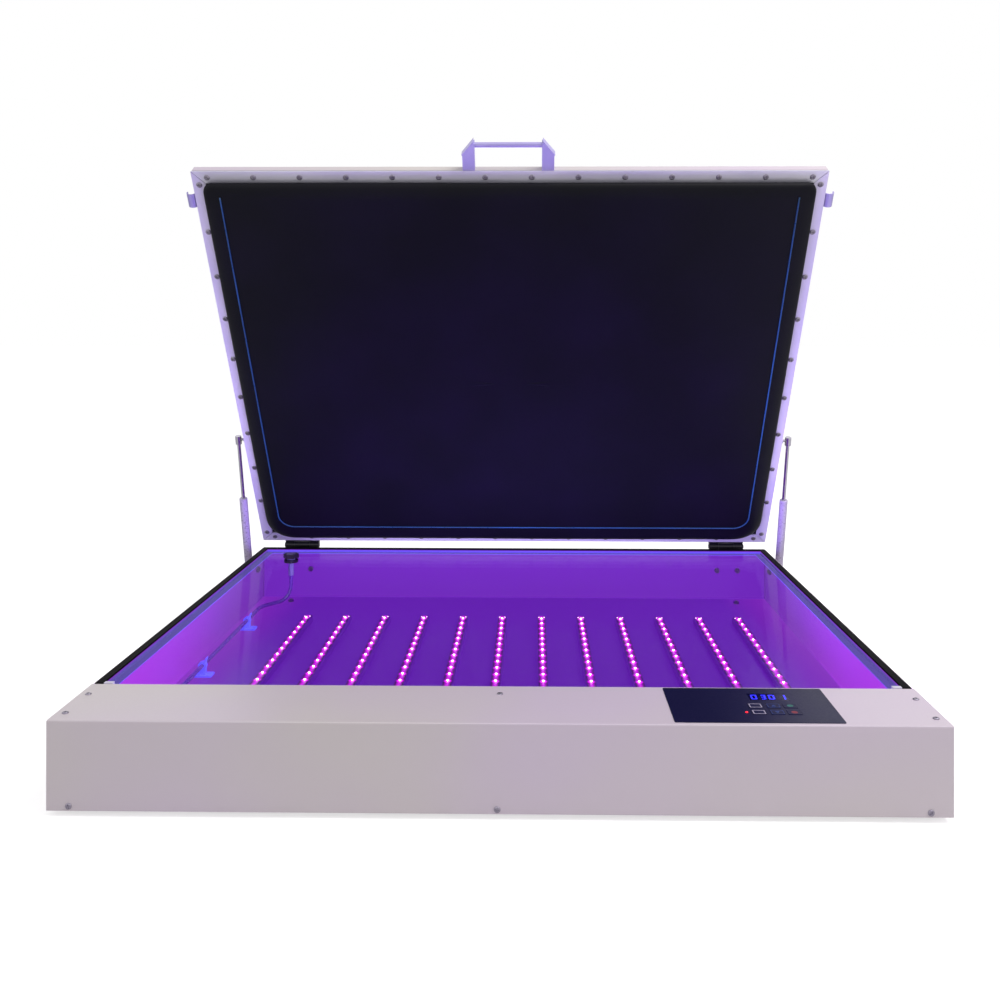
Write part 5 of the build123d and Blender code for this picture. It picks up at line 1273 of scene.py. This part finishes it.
# ---------------------------------------------------------------------------
# Light chamber
# ---------------------------------------------------------------------------
@dataclass
class LedBars:
    """The lit LEDs on their twelve bars, with the violet light that they throw.

    lens_sink is how far a dome's middle lies in its die. lens_rise and solder_rise are shares of a radius.
    """

    machine: Machine
    finishes: Finishes
    bars: int = 12
    per_bar: int = 14
    pitch_x: float = 85.0
    pitch_y: float = 36.35
    first_x: float = 23.0 - 5.5 * 85.0
    far_y: float = 873.5
    board_top: float = -104.9
    die_top: float = -103.5
    lens_radius: float = 2.3
    lens_sink: float = 0.4
    lens_rise: float = 0.75
    solder_rise: float = 0.7
    solder_behind: float = 12.0
    solder_side: float = 5.6
    solder_radius: float = 1.6
    bar_width: float = 14.0
    bar_length: float = 490.0
    light: tuple[float, float, float] = (0.64, 0.44, 1.0)
    watts: float = 2.0
    lamp_rise: float = 3.0

    def lenses(self) -> None:
        """Lays a domed lens on each LED."""
        piece = solid("led_lenses", [], [], self.finishes.lens)
        grow(
            piece,
            lens_tree(),
            start=self.machine.at(self.first_x, self.far_y, self.die_top - self.lens_sink),
            bars=self.bars,
            per_bar=self.per_bar,
            bar_step=(self.pitch_x * MM, 0, 0),
            lens_step=(0, -self.pitch_y * MM, 0),
            radius=self.lens_radius * MM,
            height=self.lens_rise,
            finish=self.finishes.lens,
        )
        keep(piece, "base", Slot.LEDS.value)

    def solder(self) -> None:
        """Sets the two solder joints behind the far LED of each bar."""
        piece = solid("solder_joints", [], [], self.finishes.solder)
        x, y = self.first_x - self.solder_side, self.far_y + self.solder_behind
        grow(
            piece,
            lens_tree(),
            start=self.machine.at(x, y, self.board_top),
            bars=self.bars,
            per_bar=2,
            bar_step=(self.pitch_x * MM, 0, 0),
            lens_step=(2 * self.solder_side * MM, 0, 0),
            radius=self.solder_radius * MM,
            height=self.solder_rise,
            finish=self.finishes.solder,
        )
        keep(piece, "base", Slot.LEDS.value)

    def glow(self) -> None:
        """Lights the chamber with one lamp along each bar, since the lenses alone are too small to."""
        middle = self.far_y - (self.per_bar - 1) * self.pitch_y / 2
        for bar in range(self.bars):
            lamp = bpy.data.lights.new(f"led_light_{bar + 1}", "AREA")
            lamp.shape = "RECTANGLE"
            lamp.size, lamp.size_y = self.bar_width * MM, self.bar_length * MM
            lamp.energy = self.watts
            lamp.color = self.light
            place = bpy.data.objects.new(lamp.name, lamp)
            x, z = self.first_x + bar * self.pitch_x, self.die_top + self.lamp_rise
            place.location = self.machine.at(x, middle, z)
            place.rotation_euler = (math.pi, 0, 0)
            place.visible_camera = False
            place.visible_transmission = False
            place.visible_glossy = False
            bpy.context.scene.collection.objects.link(place)

    def build(self) -> None:
        """Makes the lenses, the solder joints and their light."""
        self.lenses()
        self.solder()
        self.glow()


# ---------------------------------------------------------------------------
# Control panel
# ---------------------------------------------------------------------------
SEGMENTS = {"0": "abcdef", "1": "bc", "3": "abgcd"}


@dataclass
class ControlPanel:
    """Seven-segment digits and key legends, all plain and generic.

    A figure and a legend sink a little into the surface below them, so that no gap shows.
    """

    machine: Machine
    finishes: Finishes
    window_top: float = 0.7
    key_top: float = 1.3
    digit_width: float = 8.6
    digit_height: float = 18.0
    bar: float = 2.3
    lean: float = 0.08
    end_gap: float = 0.6
    middle_gap: float = 0.4
    figures: tuple[tuple[float, str], ...] = ((354.5, "0"), (367.0, "3"), (379.5, "0"), (395.0, "1"))
    figure_y: float = 94.5
    key_x: tuple[float, ...] = (354.3, 379.3, 402.3)
    key_y: tuple[float, ...] = (68.5, 44.0)
    sink: float = 0.05
    figure_rise: float = 0.06
    legend_rise: float = 0.04
    frame_width: float = 17.0
    frame_height: float = 14.0
    thick_line: float = 1.5
    thin_line: float = 0.8
    dot_radius: float = 4.4
    arrow_half: float = 3.4
    arrow_tip: float = 3.2

    def segment(self, letter: str, x: float, y: float) -> list[tuple[float, float]]:
        """Gives one segment's outline, for a digit whose lower left corner is at x, y.

        Args:
            letter: the segment's usual letter, a to g.
            x: the digit's left side.
            y: the digit's foot.

        Returns:
            Its four corners.
        """
        w, h, b = self.digit_width, self.digit_height, self.bar
        half, end, gap = h / 2, self.end_gap, self.middle_gap
        boxes = {
            "a": (b, h - b, w - b, h), "g": (b, half - b / 2, w - b, half + b / 2), "d": (b, 0, w - b, b),
            "f": (0, half + gap, b, h - end), "b": (w - b, half + gap, w, h - end),
            "e": (0, end, b, half - gap), "c": (w - b, end, w, half - gap),
        }
        x0, y0, x1, y1 = boxes[letter]
        corners = [(x0, y0), (x1, y0), (x1, y1), (x0, y1)]
        return [(x + px + self.lean * py, y + py) for px, py in corners]

    def digits(self) -> None:
        """Lights a time of three digits and a programme of one."""
        outlines = []
        for x, figure in self.figures:
            outlines += [self.segment(letter, x, self.figure_y) for letter in SEGMENTS[figure]]
        low, high = self.window_top - self.sink, self.window_top + self.figure_rise
        piece = plates("display_digits", outlines, self.machine.at, low, high, self.finishes.digits)
        keep(piece, "base", Slot.DISPLAY.value)

    def frame_outline(self, x: float, y: float, line: float) -> list[list[tuple[float, float]]]:
        """Gives the four bars of a key's printed frame.

        Args:
            x: the key's middle, across.
            y: the key's middle, front to back.
            line: the bars' width.

        Returns:
            The near, far, left and right bar's outlines.
        """
        a, b = self.frame_width / 2, self.frame_height / 2
        bars = [
            (-a, -b, a, -b + line), (-a, b - line, a, b),
            (-a, -b + line, -a + line, b - line), (a - line, -b + line, a, b - line),
        ]
        return [
            [(x + x0, y + y0), (x + x1, y + y0), (x + x1, y + y1), (x + x0, y + y1)]
            for x0, y0, x1, y1 in bars
        ]

    def disc(self, x: float, y: float, radius: float, sides: int = 20) -> list[tuple[float, float]]:
        """Gives a printed round mark's outline.

        Args:
            x: its middle, across.
            y: its middle, front to back.
            radius: its radius.
            sides: how many straight sides stand for the circle.

        Returns:
            Its points.
        """
        steps = [math.tau * i / sides for i in range(sides)]
        return [(x + radius * math.cos(a), y + radius * math.sin(a)) for a in steps]

    def legends(self) -> None:
        """Prints each key's frame and mark, which travel with the key."""
        grey, blue = self.finishes.ink_grey, self.finishes.ink_blue
        inks = [grey, blue, self.finishes.ink_green, grey, blue, self.finishes.ink_red]
        half, tip = self.arrow_half, self.arrow_tip
        places = [(x, y) for y in self.key_y for x in self.key_x]
        for number, ((x, y), ink) in enumerate(zip(places, inks), start=1):
            outlines = self.frame_outline(x, y, self.thick_line if number in (1, 4) else self.thin_line)
            if number in (3, 6):
                outlines = [self.disc(x, y, self.dot_radius)]
            elif number == 2:
                outlines.append([(x - half, y - tip), (x + half, y - tip), (x, y + tip)])
            elif number == 5:
                outlines.append([(x, y - tip), (x + half, y + tip), (x - half, y + tip)])
            low, high = self.key_top - self.sink, self.key_top + self.legend_rise
            piece = plates(f"key_legend_{number}", outlines, self.machine.at, low, high, ink)
            keep(piece, f"key_{number}", Slot.KEYS.value)

    def build(self) -> None:
        """Makes the digits and the legends."""
        self.digits()
        self.legends()


# ---------------------------------------------------------------------------
# Vacuum blanket
# ---------------------------------------------------------------------------
@dataclass
class Blanket:
    """The slack rubber sheet, clamped under the strips and hanging out of the lid, with its sealing bead.

    flat is the sheet's size before it was clamped, in metres; not used.
    """

    lid: OpenLid
    finishes: Finishes
    half: float = 600.0
    length: float = 966.0
    strip: float = 24.5
    under_strip: float = -3.05
    thick: float = 1.5
    proud: float = 0.5
    rise: float = 22.0
    corner_points: int = 9
    side_points: int = 46
    keep_share: float = 0.38
    bead_half: float = 546.0
    bead_low: float = 67.0
    bead_high: float = 922.0
    bead_width: float = 3.0
    bead_height: float = 2.0
    bead_bend: float = 34.0
    bead_sink: float = 0.6
    bead_lift: float = 0.5
    bead_side_steps: int = 60
    bead_rear_steps: int = 80
    bead_section_steps: int = 6
    clamped: float = 4.0
    clamped_radius: float = 3.0
    middle_start: float = 22.0
    sag: float = 1.6
    sag_ripple: float = 0.9
    flat: tuple[float, float] = (1.238, 1.004)

    def loop(self, half_x: float, half_u: float, low_r: float, high_r: float) -> list[tuple[float, float]]:
        """Gives a rounded rectangle about the lid's middle.

        Args:
            half_x: half its width.
            half_u: half its length.
            low_r: radius of the two corners by the hinges.
            high_r: radius of the two corners by the handle.

        Returns:
            Its points, as many for every rectangle, from the rear right corner round.
        """
        middle = self.length / 2
        corners = [(1, -1, low_r, -90), (1, 1, high_r, 0), (-1, 1, high_r, 90), (-1, -1, low_r, 180)]
        arcs = []
        for sx, su, radius, begin in corners:
            cx, cu = sx * (half_x - radius), middle + su * (half_u - radius)
            steps = range(self.corner_points)
            turns = [math.radians(begin + 90 * i / (self.corner_points - 1)) for i in steps]
            arcs.append([(cx + radius * math.cos(a), cu + radius * math.sin(a)) for a in turns])
        points = []
        for arc, after in zip(arcs, arcs[1:] + arcs[:1]):
            points += arc
            (x0, u0), (x1, u1) = arc[-1], after[0]
            steps = [i / self.side_points for i in range(1, self.side_points)]
            points += [(x0 + (x1 - x0) * t, u0 + (u1 - u0) * t) for t in steps]
        return points

    def ripple(self, x: float, u: float) -> float:
        """Gives the slack sheet's slow swell at a place.

        Args:
            x: the place across the lid.
            u: the place up the lid.

        Returns:
            The swell in millimetres: two long waves and a short one.
        """
        swell = math.sin(x / 170 + 0.6) * math.cos(u / 150 - 0.4) + 0.6 * math.sin((x + 0.8 * u) / 95)
        return swell + 0.35 * math.sin(x / 38 + u / 61)

    def rings(self) -> list[list[Vector]]:
        """Gives the sheet's loops from its outer edge, round the swollen rim, to its middle.

        Returns:
            The loops in metres, and a last one that is only the middle point.
        """
        # the rim's loops: height, growth past the strips' inner edge, and the low and high corners' radii
        inner_x, inner_u = self.half - self.strip, self.length / 2 - self.strip
        rim = [
            (self.under_strip, -1.0, 20.0, 8.0), (-1.2, -1.0, 20.5, 8.2), (0.3, -0.6, 22.0, 9.0),
            (3.0, 2.2, 38.0, 14.0), (6.0, 4.2, 48.0, 18.0), (9.5, 4.6, 55.0, 21.0), (13.5, 3.0, 60.0, 25.0),
            (17.0, -1.2, 62.0, 28.0), (19.6, -7.5, 62.0, 31.0), (21.2, -14.0, 60.0, 33.0),
            (21.9, -22.0, 58.0, 34.0),
        ]
        made = []
        edge, square = (self.half + self.proud, self.length / 2 + self.proud), self.clamped_radius
        for half_x, half_u in (edge, (inner_x + self.clamped, inner_u + self.clamped)):
            outline = self.loop(half_x, half_u, square, square)
            made.append([self.lid.at(x, u, self.under_strip) for x, u in outline])
        for number, (w, growth, low_r, high_r) in enumerate(rim):
            outline = self.loop(inner_x + growth, inner_u + growth, low_r, high_r)
            slack = 0.5 * math.sin(math.pi * number / (len(rim) - 1))
            made.append([self.lid.at(x, u, w + slack * self.ripple(x, u)) for x, u in outline])
        # the middle's loops, as shares of the rim's last; the sheet sinks back and ripples inside them
        shrink = [0.985, 0.965, 0.94, 0.9, 0.85, 0.79, 0.72, 0.64, 0.55, 0.45, 0.34, 0.22, 0.1]
        middle = self.length / 2
        start_x, start_u = inner_x - self.middle_start, inner_u - self.middle_start
        for share in shrink:
            radius = 34.0 + 60.0 * (1 - share)
            fitted = min(radius, 0.95 * start_u * share)
            outline = self.loop(start_x * share, start_u * share, max(fitted, 58.0 * share), fitted)
            fade = min(1.0, (1 - share) / 0.2)
            drop = [fade * (self.sag - self.sag_ripple * self.ripple(x, u)) for x, u in outline]
            swell = [(x, u, self.rise - 0.1 - down) for (x, u), down in zip(outline, drop)]
            made.append([self.lid.at(x, u, min(w, self.rise)) for x, u, w in swell])
        made.append([self.lid.at(0, middle, self.rise - 2.0)])
        return made

    def sheet(self) -> bpy.types.Object:
        """Makes the rubber sheet from its loops, with its real thickness.

        Returns:
            The sheet as a plain mesh.
        """
        rings = self.rings()
        points = [p for ring in rings for p in ring]
        count, faces = len(rings[0]), []
        for k in range(len(rings) - 2):
            a, b = k * count, (k + 1) * count
            for i in range(count):
                j = (i + 1) % count
                faces.append([a + i, b + i, b + j, a + j])
        a, tip = (len(rings) - 2) * count, len(points) - 1
        faces += [[a + i, tip, a + (i + 1) % count] for i in range(count)]
        piece = solid("rubber_blanket", points, faces, self.finishes.rubber, smooth=True)
        facing = piece.data.polygons[len(faces) // 2].normal.dot(self.lid.out)
        if facing < 0:
            piece.data.flip_normals()
        wall = piece.modifiers.new("wall", "SOLIDIFY")
        wall.thickness = self.thick * MM
        wall.offset = -1.0
        soft = piece.modifiers.new("soft", "SUBSURF")
        soft.levels = soft.render_levels = 1
        return plain_mesh(piece)

    def bead(self) -> bpy.types.Object:
        """Sweeps the bead's half-round along its open path on the sheet.

        Returns:
            The bead as a plain mesh.
        """
        low, high, half, r = self.bead_low, self.bead_high, self.bead_half, self.bead_bend
        up_steps, rear_steps, turn = self.bead_side_steps, self.bead_rear_steps, self.bead_section_steps
        path = [(-half, high - (high - low - r) * i / up_steps) for i in range(up_steps)]
        path += [(-half + r - r * math.cos(a), low + r - r * math.sin(a)) for a in self.quarter()]
        path += [(-half + r + (2 * half - 2 * r) * i / rear_steps, low) for i in range(1, rear_steps)]
        path += [(half - r + r * math.sin(a), low + r - r * math.cos(a)) for a in self.quarter()]
        path += [(half, low + r + (high - low - r) * i / up_steps) for i in range(1, up_steps + 1)]
        section = [(math.cos(math.pi * k / turn), math.sin(math.pi * k / turn)) for k in range(turn + 1)]
        points: list[Vector] = []
        for number, (x, u) in enumerate(path):
            before, after = path[max(number - 1, 0)], path[min(number + 1, len(path) - 1)]
            along = Vector((after[0] - before[0], after[1] - before[1])).normalized()
            for across, up in section:
                side = across * self.bead_width / 2
                w = self.rise - self.bead_sink + up * (self.bead_height + self.bead_lift)
                points.append(self.lid.at(x + along.y * side, u - along.x * side, w))
        n, faces = len(section), []
        for k in range(len(path) - 1):
            a, b = k * n, (k + 1) * n
            faces += [[a + i, a + (i + 1) % n, b + (i + 1) % n, b + i] for i in range(n)]
        faces += [list(reversed(range(n))), list(range(len(points) - n, len(points)))]
        return solid("sealing_bead", points, faces, self.finishes.bead, smooth=True)

    def quarter(self) -> list[float]:
        """Gives the angles of a quarter turn by tens of degrees, in radians."""
        return [math.radians(10 * i) for i in range(10)]

    def build(self) -> None:
        """Makes the sheet and its bead, and fixes both to the lid in place of the model's blanket and bead.
        """
        sheet, bead = self.sheet(), self.bead()
        keep(sheet, "lid", Slot.RUBBER.value, "blanket")
        keep(bead, "lid", Slot.RUBBER.value, "blanket_bead")
        anchor = self.lid.at(0, self.length / 2, self.under_strip)
        for piece in (sheet, bead):
            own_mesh(piece)


# ---------------------------------------------------------------------------
# Studio
# ---------------------------------------------------------------------------
@dataclass
class Studio:
    """The camera at the photograph's place, a pale floor and soft plain light."""

    machine: Machine
    eye: tuple[float, float, float] = (47.0, -1374.0, 518.4)
    pitch: float = 0.0011
    roll: float = -0.0011
    yaw: float = 0.0147
    lens: float = 37.44
    shift: tuple[float, float] = (-0.018, -0.1701)
    sensor: float = 36.0
    floor_half: float = 40.0
    floor_white: float = 0.62
    around: float = 0.5
    seen_white: float = 1.0
    aim: tuple[float, float, float] = (0.0, 0.0, 0.3)

    def camera(self) -> None:
        """Sets the camera that took the photograph."""
        seen = bpy.data.cameras.new("camera")
        seen.lens = self.lens
        seen.sensor_width = self.sensor
        seen.shift_x, seen.shift_y = self.shift
        holder = bpy.data.objects.new("camera", seen)
        holder.location = self.machine.at(*self.eye)
        holder.rotation_euler = (math.pi / 2 + self.pitch, self.roll, self.yaw)
        bpy.context.scene.collection.objects.link(holder)
        bpy.context.scene.camera = holder

    def lamp(
        self, name: str, place: tuple[float, float, float], size: float, watts: float, colour: str
    ) -> None:
        """Hangs a soft square lamp that points at the machine.

        Args:
            name: the lamp's name.
            place: where it hangs, in metres.
            size: its side, in metres.
            watts: its power.
            colour: its light's colour as "#RRGGBB".
        """
        light = bpy.data.lights.new(name, "AREA")
        light.size = size
        light.energy = watts
        light.color = linear(colour)[:3]
        holder = bpy.data.objects.new(name, light)
        holder.location = place
        aim = Vector(self.aim) - Vector(place)
        holder.rotation_euler = aim.to_track_quat("-Z", "Y").to_euler()
        bpy.context.scene.collection.objects.link(holder)

    def floor(self) -> None:
        """Lays the plain pale floor, which looks white to the camera and keeps the machine's shadow."""
        h = self.floor_half
        corners = [Vector((x, y, 0)) for x, y in ((-h, -h), (h, -h), (h, h), (-h, h))]
        material = bpy.data.materials.new("floor")
        material.use_nodes = True
        tree = material.node_tree
        shader = tree.nodes["Principled BSDF"]
        shader.inputs["Base Color"].default_value = linear("#E8E8E8")
        shader.inputs["Roughness"].default_value = 0.9
        shader.inputs["Specular IOR Level"].default_value = 0.0
        rays = add_node(tree, "ShaderNodeLightPath")
        seen = add_node(
            tree,
            "ShaderNodeMath",
            {0: rays.outputs["Is Camera Ray"], 1: self.floor_white},
            operation="MULTIPLY",
        )
        shader.inputs["Emission Color"].default_value = (1, 1, 1, 1)
        tree.links.new(seen.outputs[0], shader.inputs["Emission Strength"])
        solid("floor", corners, [[0, 1, 2, 3]], material)

    def sky(self) -> None:
        """Surrounds the machine with plain light, white where it is seen."""
        world = bpy.data.worlds.new("studio")
        bpy.context.scene.world = world
        world.use_nodes = True
        tree = world.node_tree
        rays = add_node(tree, "ShaderNodeLightPath")
        seen = add_node(
            tree,
            "ShaderNodeMath",
            {0: rays.outputs["Is Camera Ray"], 1: rays.outputs["Is Transmission Ray"]},
            operation="MAXIMUM",
        )
        mirrored = add_node(
            tree,
            "ShaderNodeMath",
            {0: seen.outputs[0], 1: rays.outputs["Is Glossy Ray"]},
            operation="MAXIMUM",
        )
        strength = add_node(
            tree,
            "ShaderNodeMapRange",
            {"Value": mirrored.outputs[0], "To Min": self.around, "To Max": self.seen_white},
        )
        background = tree.nodes["Background"]
        background.inputs["Color"].default_value = (1, 1, 1, 1)
        tree.links.new(strength.outputs[0], background.inputs["Strength"])

    def build(self) -> None:
        """Sets up the camera, the floor and the light."""
        scene = bpy.context.scene
        scene.view_settings.view_transform = "Standard"
        self.camera()
        self.floor()
        self.sky()
        self.lamp("key", place=(1.7, -0.9, 3.0), size=2.2, watts=62.0, colour="#FFFBFF")
        self.lamp("fill", place=(-2.4, -1.8, 2.0), size=2.6, watts=5.0, colour="#F4F2FF")


def main() -> None:
    """Builds the machine's looks in order."""
    logging.basicConfig(level=logging.INFO, format="%(message)s")
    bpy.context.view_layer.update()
    machine, lid = Machine(), OpenLid()
    finishes = Finishes(machine)
    finishes.dress()
    Studio(machine).build()
    LedBars(machine, finishes).build()
    ControlPanel(machine, finishes).build()
    Screws(machine, lid, finishes).build()
    Blanket(lid, finishes).build()


if __name__ == "__main__":
    main()
